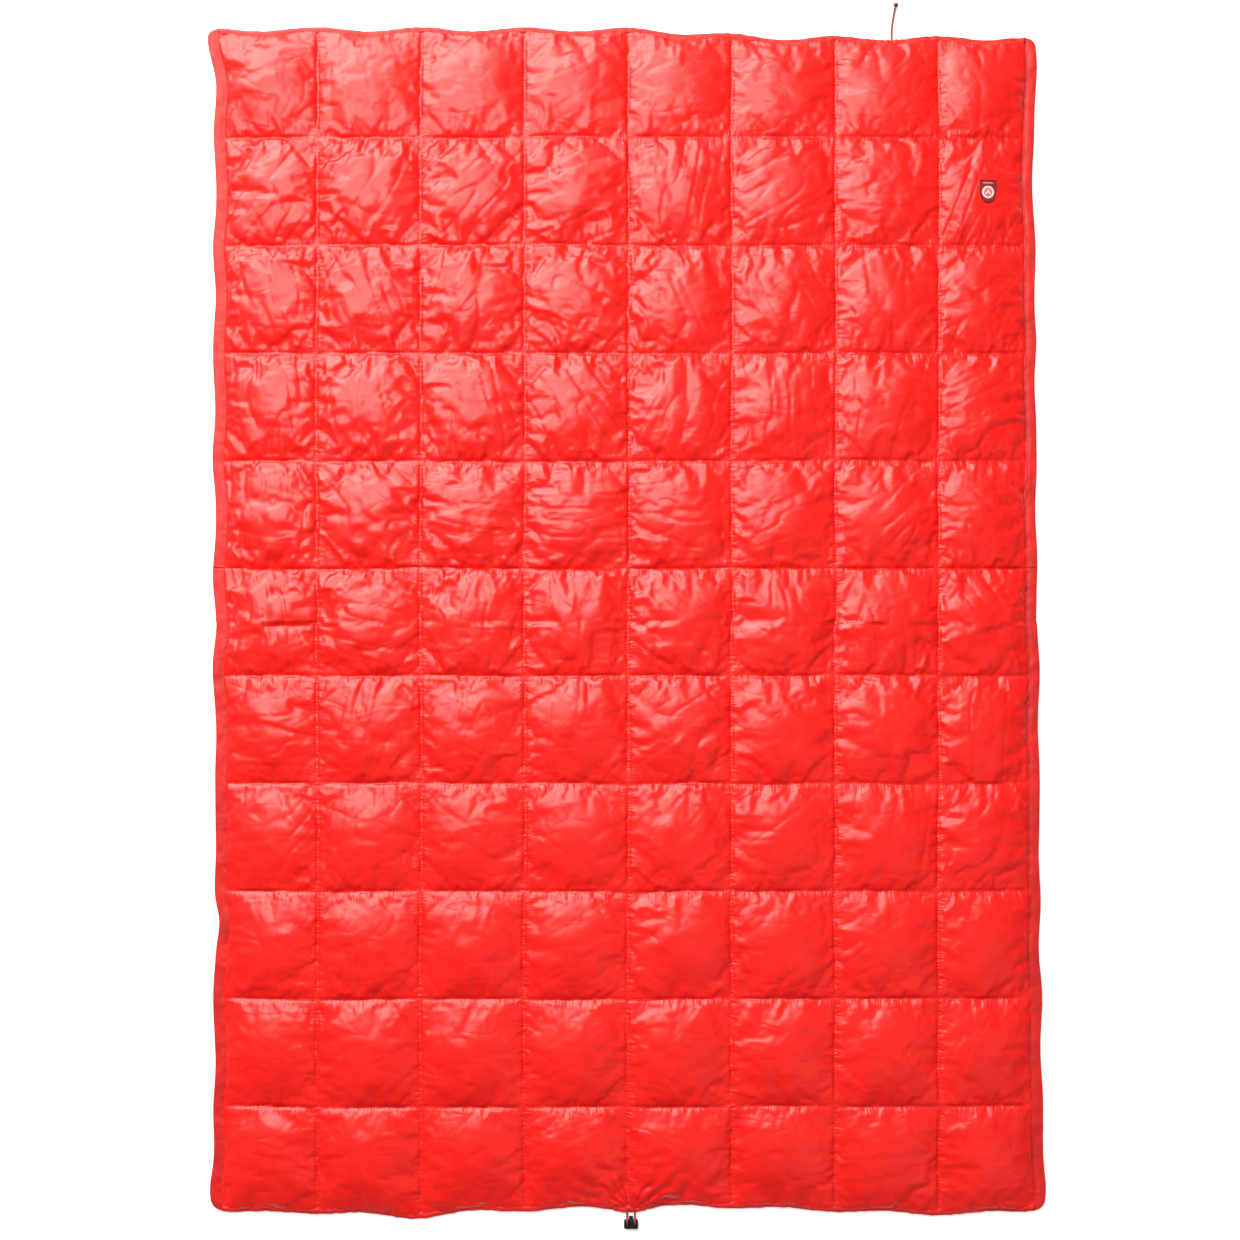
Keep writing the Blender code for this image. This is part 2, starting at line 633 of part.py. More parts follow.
def make_lock_button():
    """The plunger: a plate with a slot round each strand, a stem through the mouth, and a cap to press."""
    front, _, plate_front, _, plate_back = lock_frame()
    floor = LOCK_WALL + BUTTON_LIFT
    plate = PLATE_HALF_WIDTH
    stem = STRAND_HALF_SPACING - CORD_DIAMETER / 2 - STEM_TO_STRAND
    cap = STRAND_HALF_SPACING - CORD_DIAMETER / 2 - CAP_TO_STRAND
    tip = front + BUTTON_REACH
    neck = tip - BUTTON_CAP_LENGTH
    outline = [
        (LOCK_X + plate, plate_back), (LOCK_X + plate, plate_front), (LOCK_X + stem, plate_front),
        (LOCK_X + stem, neck), (LOCK_X + cap, neck), (LOCK_X + cap, tip), (LOCK_X - cap, tip),
        (LOCK_X - cap, neck), (LOCK_X - stem, neck), (LOCK_X - stem, plate_front),
        (LOCK_X - plate, plate_front), (LOCK_X - plate, plate_back),
    ]
    bm = bmesh.new()
    add_prism(bm, outline, floor, floor + PLATE_THICKNESS)
    button = object_from("cord_lock_button", bm, BLACK_ACETAL, (LOCK_X, plate_front, LOCK_HEIGHT / 2))

    bm = bmesh.new()
    for sign in (-1, 1):
        centre = (LOCK_X + sign * STRAND_HALF_SPACING, plate_front - SLOT_MARGIN - SLOT_LENGTH / 2)
        outline = rounded_rectangle(
            centre, (SLOT_WIDTH, SLOT_LENGTH), (SLOT_WIDTH / 2 - 0.01 * MM,) * 4, steps=4
        )
        add_prism(bm, outline, 0.0, LOCK_HEIGHT)
    cut(button, object_from("cut_button_slots", bm, BLACK_ACETAL))
    return button


def make_lock_spring():
    """The coil spring that pushes the plunger towards the hem."""
    _, back, _, _, plate_back = lock_frame()
    start = plate_back - GAP - SPRING_WIRE / 2
    end = back + LOCK_WALL + GAP + SPRING_WIRE / 2
    radius = (PLATE_THICKNESS - SPRING_PLAY - SPRING_WIRE) / 2
    steps = 12 * SPRING_TURNS
    points = []
    for step in range(steps + 1):
        angle = 2 * math.pi * SPRING_TURNS * step / steps
        points.append((
            LOCK_X + radius * math.cos(angle),
            start + (end - start) * step / steps,
            LOCK_HEIGHT / 2 + radius * math.sin(angle),
        ))
    return tube("cord_lock_spring", points, SPRING_WIRE, SPRING_STEEL, resolution=1)


def make_strand(side, sign):
    """One end of the foot drawcord: over the lock's edge, and down through the plunger's slot."""
    front, _, _, hole, _ = lock_frame()
    start = -LENGTH / 2 - SWING_PIVOT_OFFSET
    over = LOCK_HEIGHT + CORD_DIAMETER / 2 + 0.6 * MM
    x = LOCK_X + sign * STRAND_HALF_SPACING
    route = [
        (x, start, HEM_HEIGHT),
        (x, start - 2.2 * MM, HEM_HEIGHT + 0.3 * MM),
        (x, front + 4.6 * MM, HEM_HEIGHT + 1.8 * MM),
        (x, front + 2.4 * MM, over - 1.6 * MM),
        (x, front - 0.6 * MM, over + 0.2 * MM),
        (x, (front + hole) / 2 - 1.0 * MM, over + 0.5 * MM),
        (x, hole + 0.9 * MM, over - 0.6 * MM),
        (x, hole + 0.1 * MM, LOCK_HEIGHT - 0.5 * MM),
        (x, hole, LOCK_HEIGHT / 2),
        (x, hole, LOCK_WALL),
    ]
    return tube(f"foot_drawcord_end_{side}", smooth_route(route, 1.5 * MM), CORD_DIAMETER, CORD_BRAID)


# ---------------------------------------------------------------- label
def shield(scale_inset=0.0):
    """A shield's outline: a straight top, straight sides, and a lower half that curves in to a point."""
    half = LABEL_WIDTH / 2 - scale_inset
    top = LABEL_HEIGHT / 2 - scale_inset
    waist = 0.1 * LABEL_HEIGHT
    tip = -LABEL_HEIGHT / 2 + scale_inset
    points = [(half, top)]
    steps = 8
    for step in range(steps + 1):
        t = step / steps
        points.append((half * math.cos(t * math.pi / 2) ** 0.8, waist + (tip - waist) * t ** 0.9))
    mirrored = [(-x, y) for x, y in reversed(points[:-1])]
    return [(LABEL_CENTRE[0] + x, LABEL_CENTRE[1] + y) for x, y in [*points, *mirrored]]


def make_label():
    """The woven shield sewn on a cell by the head, its stitched border, a plain bar and a round emblem."""
    base = FACE_TOP + GAP
    trim = base + LABEL_THICKNESS + GAP
    bm = bmesh.new()
    add_prism(bm, shield(), base, base + LABEL_THICKNESS)
    patch = object_from("label_patch", bm, LABEL_CLOTH)

    bm = bmesh.new()
    add_prism(bm, shield(LABEL_STITCH_INSET / 2), trim, trim + LABEL_TRIM)
    border = object_from("label_border", bm, THREAD)
    bm = bmesh.new()
    add_prism(bm, shield(LABEL_STITCH_INSET), trim - MM, trim + MM)
    cut(border, object_from("cut_label_border", bm, THREAD))

    bm = bmesh.new()
    emblem_y = LABEL_CENTRE[1] - EMBLEM_DROP
    add_cylinder(bm, (LABEL_CENTRE[0], emblem_y, trim + LABEL_TRIM / 2), EMBLEM_DIAMETER / 2, LABEL_TRIM)
    emblem = object_from("label_emblem", bm, LABEL_PRINT)

    bm = bmesh.new()
    bar_y = LABEL_CENTRE[1] + LABEL_HEIGHT / 2 - BAR_FROM_TOP
    outline = rounded_rectangle((LABEL_CENTRE[0], bar_y), (BAR_WIDTH, BAR_HEIGHT), (0.6 * MM,) * 4, steps=2)
    add_prism(bm, outline, trim, trim + LABEL_TRIM)
    bar = object_from("label_bar", bm, LABEL_PRINT)
    return [patch, border, emblem, bar]


# ---------------------------------------------------------------- the whole quilt
def build():
    pieces = {panel: [] for panel in PANELS}
    for group in (make_cloth(), make_fill()):
        for panel, made in group.items():
            pieces[panel] += made
    for panel in PANELS:
        for side, sign in (("left", -1), ("right", 1)):
            pieces[panel].append(make_side_hem(side, sign, panel))
            pieces[panel].append(make_side_stitching(side, sign, panel))
        pieces[panel].append(make_quilting(panel))

    strand_exits = [LOCK_X - STRAND_HALF_SPACING, LOCK_X + STRAND_HALF_SPACING]
    cord_end = WIDTH / 2 - CORD_END_INSET
    pieces["head"] += [
        make_end_hem("head_hem", 1, [TAIL_EXIT_X]),
        make_end_stitching("head_hem_stitching", 1),
        tunnel_cord("head_drawcord", -cord_end, TAIL_EXIT_X, 1),
        *make_tail(),
        *make_label(),
    ]
    pieces["foot"] += [
        make_end_hem("foot_hem", -1, strand_exits),
        make_end_stitching("foot_hem_stitching", -1),
        tunnel_cord("foot_drawcord_left", -cord_end, strand_exits[0], -1),
        tunnel_cord("foot_drawcord_right", cord_end, strand_exits[1], -1),
    ]

    head_axis = empty("head_fold_axis", (0.0, HEAD_FOLD_Y, FOLD_AXIS_Z))
    foot_axis = empty("foot_fold_axis", (0.0, FOOT_FOLD_Y, FOLD_AXIS_Z))
    for obj in pieces["head"]:
        hang_on(head_axis, obj)
    for obj in pieces["foot"]:
        hang_on(foot_axis, obj)

    swing_axis = empty("cord_lock_axis", (LOCK_X, -LENGTH / 2 - SWING_PIVOT_OFFSET, HEM_HEIGHT))
    lock = [
        make_lock_body(), make_lock_button(), make_lock_spring(),
        make_strand("left", -1), make_strand("right", 1),
    ]
    for obj in lock:
        hang_on(swing_axis, obj)


build()
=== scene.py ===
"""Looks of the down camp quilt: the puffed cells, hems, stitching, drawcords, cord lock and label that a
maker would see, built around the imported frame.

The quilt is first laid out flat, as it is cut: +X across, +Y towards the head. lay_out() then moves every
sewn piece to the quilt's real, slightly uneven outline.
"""

import math

import bmesh
import bpy
import numpy as np
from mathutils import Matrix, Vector


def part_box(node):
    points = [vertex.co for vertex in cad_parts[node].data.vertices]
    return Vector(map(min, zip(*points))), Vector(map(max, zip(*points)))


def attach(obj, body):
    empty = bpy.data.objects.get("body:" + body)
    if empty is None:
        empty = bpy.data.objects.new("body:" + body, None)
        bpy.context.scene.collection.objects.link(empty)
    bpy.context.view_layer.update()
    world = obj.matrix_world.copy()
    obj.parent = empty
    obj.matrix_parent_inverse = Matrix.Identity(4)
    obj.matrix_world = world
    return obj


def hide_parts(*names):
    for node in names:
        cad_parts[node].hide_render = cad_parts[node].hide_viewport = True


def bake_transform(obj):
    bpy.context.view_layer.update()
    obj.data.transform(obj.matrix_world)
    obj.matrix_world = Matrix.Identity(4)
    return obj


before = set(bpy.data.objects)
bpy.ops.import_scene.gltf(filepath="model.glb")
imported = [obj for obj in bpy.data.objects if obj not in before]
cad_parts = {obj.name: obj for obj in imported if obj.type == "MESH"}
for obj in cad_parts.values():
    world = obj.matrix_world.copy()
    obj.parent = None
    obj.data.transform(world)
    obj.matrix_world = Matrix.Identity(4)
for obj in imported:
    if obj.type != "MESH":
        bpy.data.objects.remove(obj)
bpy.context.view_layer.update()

MM = 0.001

# ---- the sewn pattern, from the frame
COLUMNS = 8
ROWS = 11
SPLIT_ROW = 6
HALF_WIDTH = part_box("side_hem_right_middle")[1].x
HALF_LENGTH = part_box("head_hem")[1].y
COLUMN = 2 * HALF_WIDTH / COLUMNS
ROW = 2 * HALF_LENGTH / ROWS
SPLIT_Y = SPLIT_ROW * ROW - HALF_LENGTH
SIDE_HEM_LOW, SIDE_HEM_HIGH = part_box("side_hem_right_middle")
END_HEM_LOW, END_HEM_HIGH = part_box("head_hem")
HEM_Z = (SIDE_HEM_LOW.z + SIDE_HEM_HIGH.z) / 2
SEAM_Z = 11.0 * MM
FACE_TOP = 33.0 * MM
PILLOW_RISE = 20.5 * MM
SIDE_HEM_WIDTH = 20.0 * MM
SIDE_HEM_THICKNESS = 3.0 * MM
END_HEM_WIDTH = 12.0 * MM
END_HEM_THICKNESS = 5.0 * MM
FABRIC_X = HALF_WIDTH - SIDE_HEM_WIDTH + 1.5 * MM
FABRIC_Y = HALF_LENGTH - 4.5 * MM
LAYER = 0.3 * MM

# ---- stitching
STITCH_PITCH = 4.0 * MM
STITCH_LENGTH = 2.7 * MM
STITCH_WIDTH = 0.55 * MM
SIDE_STITCH_INSET = 4.0 * MM
END_STITCH_INSET = 2.5 * MM

# ---- drawcords and cord lock
CORD_DIAMETER = 3.6 * MM
CORD_INSET = 4.3 * MM
TAIL_EXIT_X = 0.4462
TAIL_ROUTE = (
    (0.0, -14.0, 0.0),
    (0.0, -10.0, 0.0),
    (0.0, -5.0, 0.1),
    (0.0, 0.3, 0.0),
    (0.4, 5.0, -0.1),
    (1.1, 11.0, -0.6),
    (2.1, 18.0, -0.9),
    (3.4, 25.5, -0.9),
    (4.6, 32.0, -0.4),
    (5.6, 37.0, 0.5),
    (6.1, 39.8, 1.2),
    (6.6, 43.0, 1.6),
)
LOCK_X = 5.0 * MM
STRAND_HALF_SPACING = 6.5 * MM
STRAND_ROUTE = (
    (-993.0, 3.0),
    (-997.0, 3.0),
    (-1000.0, 3.0),
    (-1002.6, 3.0),
    (-1004.8, 3.3),
    (-1006.9, 4.8),
    (-1009.1, 7.8),
    (-1012.1, 9.6),
    (-1015.8, 9.9),
    (-1017.2, 8.8),
    (-1018.0, 6.5),
    (-1018.1, 3.5),
    (-1018.1, 1.2),
)

# ---- how finely the face is simulated: squares along a cell, and steps
CELL_SQUARES = 28
CLOTH_STEPS = 22


# ======================================================================== numbers
def ease(value, low, high):
    """0 below low, 1 above high, and smooth between them."""
    t = np.clip((value - low) / (high - low), 0, 1)
    return t * t * (3 - 2 * t)


def swell(value, centre, width):
    """A rounded bump of height 1 about centre."""
    return np.exp(-(((value - centre) / width) ** 2))


def ripple(across, along, seed):
    """Smooth irregular waves between -1 and 1, about one unit apart in each direction."""
    table = np.random.default_rng(seed).uniform(-1, 1, (257, 257))
    across, along = np.broadcast_arrays(np.asarray(across, float), np.asarray(along, float))
    i, j = np.floor(across).astype(int), np.floor(along).astype(int)
    s, t = across - i, along - j
    s, t = s * s * (3 - 2 * s), t * t * (3 - 2 * t)
    i, j = i % 256, j % 256
    near = table[i, j] * (1 - s) + table[i + 1, j] * s
    far = table[i, j + 1] * (1 - s) + table[i + 1, j + 1] * s
    return near * (1 - t) + far * t


# ======================================================================== the quilt's outline
def head_edge(x):
    """How far the head edge lies outside its pattern line: it is drawn in on the right."""
    return 4 * MM - 15 * MM * ease(x, -0.05, 0.3) + 3.5 * MM * np.cos(2 * math.pi * x / COLUMN)


def foot_edge(x):
    """The foot edge is drawn in about the cord lock, and comes out at the lock itself."""
    drawn = -10.5 * MM * swell(x, 0.08, 0.26) + 7.2 * MM * swell(x, LOCK_X, 0.035)
    loose = 9 * MM * swell(x, -0.37, 0.07) + 3 * MM * swell(x, 0.5, 0.08)
    return drawn + loose + 2.5 * MM * np.cos(2 * math.pi * x / COLUMN)


def side_wave(y, seed):
    return 1.6 * MM * np.cos(2 * math.pi * (y + HALF_LENGTH) / ROW) + 2.4 * MM * ripple(y / 0.07, seed, seed)


def right_edge(y):
    flare = 9 * MM * swell(y, 0.96, 0.1) + 7 * MM * swell(y, -1.0, 0.12)
    return -6.5 * MM - 9 * MM * y + flare + side_wave(y, 5)


def left_edge(y):
    flare = 12 * MM * swell(y, 1.0, 0.07) + 9 * MM * swell(y, -0.98, 0.06)
    return flare - 7 * MM * swell(y, -0.506, 0.035) + side_wave(y, 9)


def lay_out(x, y):
    """Moves points of the flat pattern to where they lie on the quilt."""
    x, y = np.asarray(x, float), np.asarray(y, float)
    side = ease(np.abs(x), HALF_WIDTH - 1.2 * COLUMN, HALF_WIDTH)
    end = ease(np.abs(y), HALF_LENGTH - 1.1 * ROW, HALF_LENGTH)
    inside = (1 - side) * (1 - end)
    out_x = np.where(x > 0, right_edge(y), left_edge(y))
    out_y = np.where(y > 0, head_edge(x), foot_edge(x))
    corner_x = ease(np.abs(x), HALF_WIDTH - 60 * MM, HALF_WIDTH)
    corner_y = ease(np.abs(y), HALF_LENGTH - 60 * MM, HALF_LENGTH)
    round_off = corner_x * corner_y * np.where(y > 0, 3 * MM, 6 * MM)
    wander_x = 2.5 * MM * ripple(x / 0.3, y / 0.12, 21) * inside
    wander_y = 2.5 * MM * ripple(x / 0.12, y / 0.3, 22) * inside
    return (
        x + np.sign(x) * (out_x * side - round_off) + wander_x,
        y + np.sign(y) * (out_y * end - round_off) + wander_y,
    )


def seam_height(x, y):
    """Height of the plane that the cells are sewn in: it runs down to the hems in the outer cells."""
    from_side = (FABRIC_X - np.abs(x)) / (FABRIC_X - (COLUMNS / 2 - 1) * COLUMN)
    from_end = (FABRIC_Y - np.abs(y)) / (FABRIC_Y - (ROWS / 2 - 1) * ROW)
    return HEM_Z + (SEAM_Z - HEM_Z) * np.clip(np.minimum(from_side, from_end), 0, 1)


# ======================================================================== camera, light and floor
def aim(thing, target):
    thing.rotation_euler = (Vector(target) - thing.location).to_track_quat("-Z", "Y").to_euler()


def add_object(name, data):
    made = bpy.data.objects.new(name, data)
    bpy.context.scene.collection.objects.link(made)
    return made


def add_camera():
    """Straight above the quilt, with a normal lens."""
    camera = add_object("camera", bpy.data.cameras.new("camera"))
    camera.data.lens = 50
    camera.data.sensor_width = 36
    camera.location = (-0.0136, 0.0034, 2.92)
    camera.rotation_euler = (0, 0, 0)
    camera.data.clip_end = 50
    bpy.context.scene.camera = camera


def add_softbox(name, place, target, size, watts, in_gloss=True):
    lamp = bpy.data.lights.new(name, "AREA")
    lamp.shape = "RECTANGLE"
    lamp.size, lamp.size_y = size
    lamp.energy = watts
    lamp.color = linear("#FFFBF4")[:3]
    box = add_object(name, lamp)
    box.location = place
    aim(box, target)
    box.visible_glossy = in_gloss
    return box


def light_studio():
    """A big softbox beyond the head's left corner, a smaller one overhead that mirrors in the foot rows, and a
    weaker fill that doesn't mirror in the cloth."""
    add_softbox("key_softbox", (-2.1, 3.9, 3.2), (0, -0.3, 0), (4.4, 2.4), 400)
    add_softbox("overhead_softbox", (-0.9, 1.15, 3.4), (0, -0.75, 0), (2.4, 1.1), 84)
    add_softbox("fill_light", (2.2, -2.4, 3.4), (0.1, -0.2, 0), (3, 3), 34, in_gloss=False)
    world = bpy.data.worlds.new("studio")
    bpy.context.scene.world = world
    world.use_nodes = True
    world.node_tree.nodes["Background"].inputs["Color"].default_value = (1, 1, 1, 1)
    world.node_tree.nodes["Background"].inputs["Strength"].default_value = 0.12
    bpy.context.scene.view_settings.view_transform = "Standard"


# ======================================================================== materials
def linear(colour):
    """An sRGB hex colour as linear RGBA."""
    channels = [int(colour[i : i + 2], 16) / 255 for i in (1, 3, 5)]
    return (*[c / 12.92 if c <= 0.04045 else ((c + 0.055) / 1.055) ** 2.4 for c in channels], 1)


def add(tree, kind, inputs=None, **settings):
    """Adds a node, sets its properties, and sets or links its inputs."""
    node = tree.nodes.new("ShaderNode" + kind)
    for key, value in settings.items():
        setattr(node, key, value)
    for key, value in (inputs or {}).items():
        if isinstance(value, bpy.types.NodeSocket):
            tree.links.new(value, node.inputs[key])
        else:
            node.inputs[key].default_value = value
    return node


def start_material(name, roughness, metallic=0.0, ior=1.5, **sockets):
    material = bpy.data.materials.new(name)
    material.use_nodes = True
    tree = material.node_tree
    shader = tree.nodes["Principled BSDF"]
    for key, value in {"Roughness": roughness, "Metallic": metallic, "IOR": ior, **sockets}.items():
        shader.inputs[key].default_value = value
    return material, tree, shader


def paint(tree, shader, texture, first, second, low=0.35, high=0.65):
    """Colours the shader from first to second as a texture goes from low to high."""
    ramp = add(tree, "ValToRGB", {"Fac": texture})
    ramp.color_ramp.elements[0].position, ramp.color_ramp.elements[0].color = low, linear(first)
    ramp.color_ramp.elements[1].position, ramp.color_ramp.elements[1].color = high, linear(second)
    tree.links.new(ramp.outputs["Color"], shader.inputs["Base Color"])
    return ramp


def bands(pitch):
    """The Wave texture's scale that sets its bands a pitch apart, on coordinates in metres."""
    return 2 * math.pi / (20 * pitch)


def near_seam(tree, along, pitch, half_count, reach):
    """1 on the seams that lie a pitch apart across a coordinate, falling to 0 at reach from them."""
    turns = add(tree, "Math", {0: along, 1: 1 / pitch}, operation="MULTIPLY")
    shifted = add(tree, "Math", {0: turns.outputs[0], 1: half_count}, operation="ADD")
    away = add(tree, "Math", {0: shifted.outputs[0], 1: 0.5}, operation="PINGPONG")
    spread = {"Value": away.outputs[0], "From Min": 0.0, "From Max": reach / pitch, "To Min": 1.0, "To Max": 0.0}
    return add(tree, "MapRange", spread, interpolation_type="SMOOTHSTEP").outputs["Result"]


def stretched_noise(tree, place, across, along, detail=2.0, distortion=0.0):
    """Noise whose grains are across wide and along long, in metres."""
    scaled = add(tree, "VectorMath", {0: place, 1: (1 / across, 1 / along, 1.0)}, operation="MULTIPLY")
    inputs = {"Vector": scaled.outputs[0], "Scale": 1.0, "Detail": detail, "Roughness": 0.5, "Distortion": distortion}
    return add(tree, "TexNoise", inputs, noise_dimensions="2D").outputs["Fac"]


def ridges(tree, noise):
    """Folds a noise about its middle, which leaves flat facets that meet in creases."""
    centred = add(tree, "Math", {0: noise, 1: 0.5}, operation="SUBTRACT").outputs[0]
    return add(tree, "Math", {0: centred}, operation="ABSOLUTE").outputs[0]


def times(tree, a, b):
    return add(tree, "Math", {0: a, 1: b}, operation="MULTIPLY").outputs[0]


def plus(tree, *values):
    total = values[0]
    for value in values[1:]:
        total = add(tree, "Math", {0: total, 1: value}, operation="ADD").outputs[0]
    return total


def calendered_nylon(name, bright, deep, roughness, gathered=1.0):
    """Calendered down-proof nylon: a plain weave ironed between hot rollers, so it shines like satin.
    It creases sharply, and it is gathered into short puckers across each line of stitches."""
    material, tree, shader = start_material(name, roughness, ior=1.53)
    flat = add(tree, "UVMap", uv_map="flat").outputs["UV"]
    parts = add(tree, "SeparateXYZ", {0: flat})
    lengthwise = near_seam(tree, parts.outputs["X"], COLUMN, COLUMNS / 2, 20 * MM)
    crosswise = near_seam(tree, parts.outputs["Y"], ROW, ROWS / 2, 30 * MM)
    side_puckers = stretched_noise(tree, flat, 26 * MM, 6 * MM, distortion=0.6)
    end_puckers = stretched_noise(tree, flat, 8 * MM, 30 * MM, distortion=0.6)
    facets = ridges(tree, stretched_noise(tree, flat, 52 * MM, 30 * MM, detail=0.6, distortion=0.4))
    # the real weave is 0.1 mm, too fine to show, so it is drawn at 0.7 mm
    warp = add(tree, "TexWave", {"Vector": flat, "Scale": bands(0.7 * MM)}, bands_direction="X")
    weft = add(tree, "TexWave", {"Vector": flat, "Scale": bands(0.7 * MM)}, bands_direction="Y")
    weave = plus(tree, warp.outputs["Fac"], weft.outputs["Fac"])
    height = plus(
        tree,
        times(tree, times(tree, side_puckers, lengthwise), 1.8 * gathered),
        times(tree, times(tree, end_puckers, crosswise), 1.4 * gathered),
        times(tree, facets, 1.2 * gathered + 0.9),
        times(tree, weave, 0.006),
    )
    bump = add(tree, "Bump", {"Height": height, "Distance": 1 * MM, "Strength": 1.0})
    tree.links.new(bump.outputs["Normal"], shader.inputs["Normal"])
    clumps = stretched_noise(tree, flat, 70 * MM, 60 * MM, detail=3.0)
    paint(tree, shader, clumps, deep, bright)
    worn = stretched_noise(tree, flat, 45 * MM, 30 * MM)
    gloss = add(tree, "MapRange", {"Value": worn, "To Min": roughness - 0.06, "To Max": roughness + 0.08})
    tree.links.new(gloss.outputs["Result"], shader.inputs["Roughness"])
    return material


def spun_thread(name, bright, deep):
    """Two-ply polyester sewing thread: dull, with a slanting twist that catches the light."""
    material, tree, shader = start_material(name, 0.55, ior=1.5)
    place = add(tree, "TexCoord").outputs["Object"]
    wave_inputs = {"Vector": place, "Scale": bands(0.6 * MM)}
    twist = add(tree, "TexWave", wave_inputs, bands_direction="DIAGONAL").outputs["Fac"]
    paint(tree, shader, twist, deep, bright, 0.2, 0.8)
    bump = add(tree, "Bump", {"Height": twist, "Distance": 0.1 * MM, "Strength": 0.6})
    tree.links.new(bump.outputs["Normal"], shader.inputs["Normal"])
    return material


def braided_cord(name, bright, deep):
    """Braided nylon drawcord: strands cross in a diamond pattern about 2 mm long."""
    material, tree, shader = start_material(name, 0.5, ior=1.5)
    along = add(tree, "UVMap", uv_map="along").outputs["UV"]
    slants = []
    for slope in (1.0, -1.0):
        turned = add(tree, "VectorMath", {0: along, 1: (slope, 1.0, 0.0)}, operation="MULTIPLY")
        wave = {"Vector": turned.outputs[0], "Scale": bands(1.9 * MM)}
        slants.append(add(tree, "TexWave", wave, bands_direction="DIAGONAL").outputs["Fac"])
    braid = add(tree, "Math", {0: slants[0], 1: slants[1]}, operation="MAXIMUM").outputs[0]
    paint(tree, shader, braid, deep, bright, 0.3, 0.95)
    bump = add(tree, "Bump", {"Height": braid, "Distance": 0.25 * MM, "Strength": 0.8})
    tree.links.new(bump.outputs["Normal"], shader.inputs["Normal"])
    return material


def moulded_acetal(name, shade, worn):
    """Injection-moulded black acetal: a fine spark-eroded grain, rubbed smoother in places."""
    material, tree, shader = start_material(name, 0.42, ior=1.48)
    place = add(tree, "TexCoord").outputs["Object"]
    grain = add(tree, "TexNoise", {"Vector": place, "Scale": 1 / (0.35 * MM), "Detail": 2.0}).outputs["Fac"]
    rubbed = add(tree, "TexNoise", {"Vector": place, "Scale": 1 / (5 * MM), "Detail": 3.0}).outputs["Fac"]
    paint(tree, shader, rubbed, shade, worn)
    gloss = add(tree, "MapRange", {"Value": rubbed, "To Min": 0.34, "To Max": 0.52})
    tree.links.new(gloss.outputs["Result"], shader.inputs["Roughness"])
    bump = add(tree, "Bump", {"Height": grain, "Distance": 0.04 * MM, "Strength": 0.6})
    tree.links.new(bump.outputs["Normal"], shader.inputs["Normal"])
    return material


def spring_steel(name, bright, dark):
    """Drawn spring wire: bare steel with fine lengthwise scratches."""
    material, tree, shader = start_material(name, 0.3, metallic=1.0)
    place = add(tree, "TexCoord").outputs["Object"]
    drawn = add(tree, "TexNoise", {"Vector": place, "Scale": 1 / (0.4 * MM), "Detail": 3.0}).outputs["Fac"]
    paint(tree, shader, drawn, dark, bright)
    return material


def woven_label(name, bright, deep, thread=0.45 * MM, roughness=0.62):
    """Damask label cloth: fine polyester threads, woven tight, drawn at about 0.5 mm so that they show."""
    material, tree, shader = start_material(name, roughness, ior=1.5)
    place = add(tree, "TexCoord").outputs["Object"]
    warp = add(tree, "TexWave", {"Vector": place, "Scale": bands(thread)}, bands_direction="X")
    weft = add(tree, "TexWave", {"Vector": place, "Scale": bands(thread)}, bands_direction="Y")
    weave = times(tree, warp.outputs["Fac"], weft.outputs["Fac"])
    paint(tree, shader, weave, deep, bright, 0.0, 0.7)
    bump = add(tree, "Bump", {"Height": weave, "Distance": 0.08 * MM, "Strength": 0.8})
    tree.links.new(bump.outputs["Normal"], shader.inputs["Normal"])
    return material


def matt_floor(name):
    """White studio board with a faint tooth, lit a little from below as a product table is."""
    material, tree, shader = start_material(name, 0.9, ior=1.3)
    place = add(tree, "TexCoord").outputs["Object"]
    tooth = add(tree, "TexNoise", {"Vector": place, "Scale": 30.0, "Detail": 3.0}).outputs["Fac"]
    paint(tree, shader, tooth, "#FDFDFD", "#FFFFFF")
    shader.inputs["Emission Color"].default_value = (1, 1, 1, 1)
    shader.inputs["Emission Strength"].default_value = 0.34
    return material


FACE_NYLON = calendered_nylon("calendered_nylon_face", "#F51D17", "#EA1712", 0.37)
LINING_NYLON = calendered_nylon("calendered_nylon_lining", "#E2241D", "#D81E19", 0.4)
# The hems are sewn from the face's nylon; their darker reds are painted shade.
HEM_NYLON_PAINTED_SHADE = calendered_nylon("calendered_nylon_hem_painted_shade", "#D81511", "#C4110E", 0.55, gathered=0.0)
THREAD = spun_thread("spun_polyester_thread", "#C9221D", "#9C1210")
CORD = braided_cord("braided_nylon_cord", "#A92A2A", "#76161A")
# The knot is tied in the same cord as the tail; its darker colours are painted shade.
KNOT_CORD_PAINTED_SHADE = braided_cord("braided_nylon_knot_painted_shade", "#931C27", "#5E0D16")
ACETAL = moulded_acetal("moulded_acetal_black", "#131314", "#1E1E20")
STEEL = spring_steel("spring_steel_wire", "#C9CBCE", "#8D9094")
LABEL_CLOTH = woven_label("damask_label_crimson", "#A0101F", "#7A0A16")
LABEL_EDGE = woven_label("overlocked_label_edge", "#7A0D1E", "#560814", 0.6 * MM, 0.5)
LABEL_WHITE = woven_label("embroidery_thread_white", "#FBE6E3", "#EBC3C0", 0.5 * MM, 0.5)
LABEL_PINK = woven_label("embroidery_thread_pink", "#E88F95", "#C8616C", 0.5 * MM, 0.5)


# ======================================================================== mesh helpers
def finish_piece(bm, name, material, smooth=True):
    """Makes a bmesh an object, with its place in its mesh."""
    mesh = bpy.data.meshes.new(name)
    bm.to_mesh(mesh)
    bm.free()
    mesh.polygons.foreach_set("use_smooth", [smooth] * len(mesh.polygons))
    mesh.materials.append(material)
    return add_object(name, mesh)


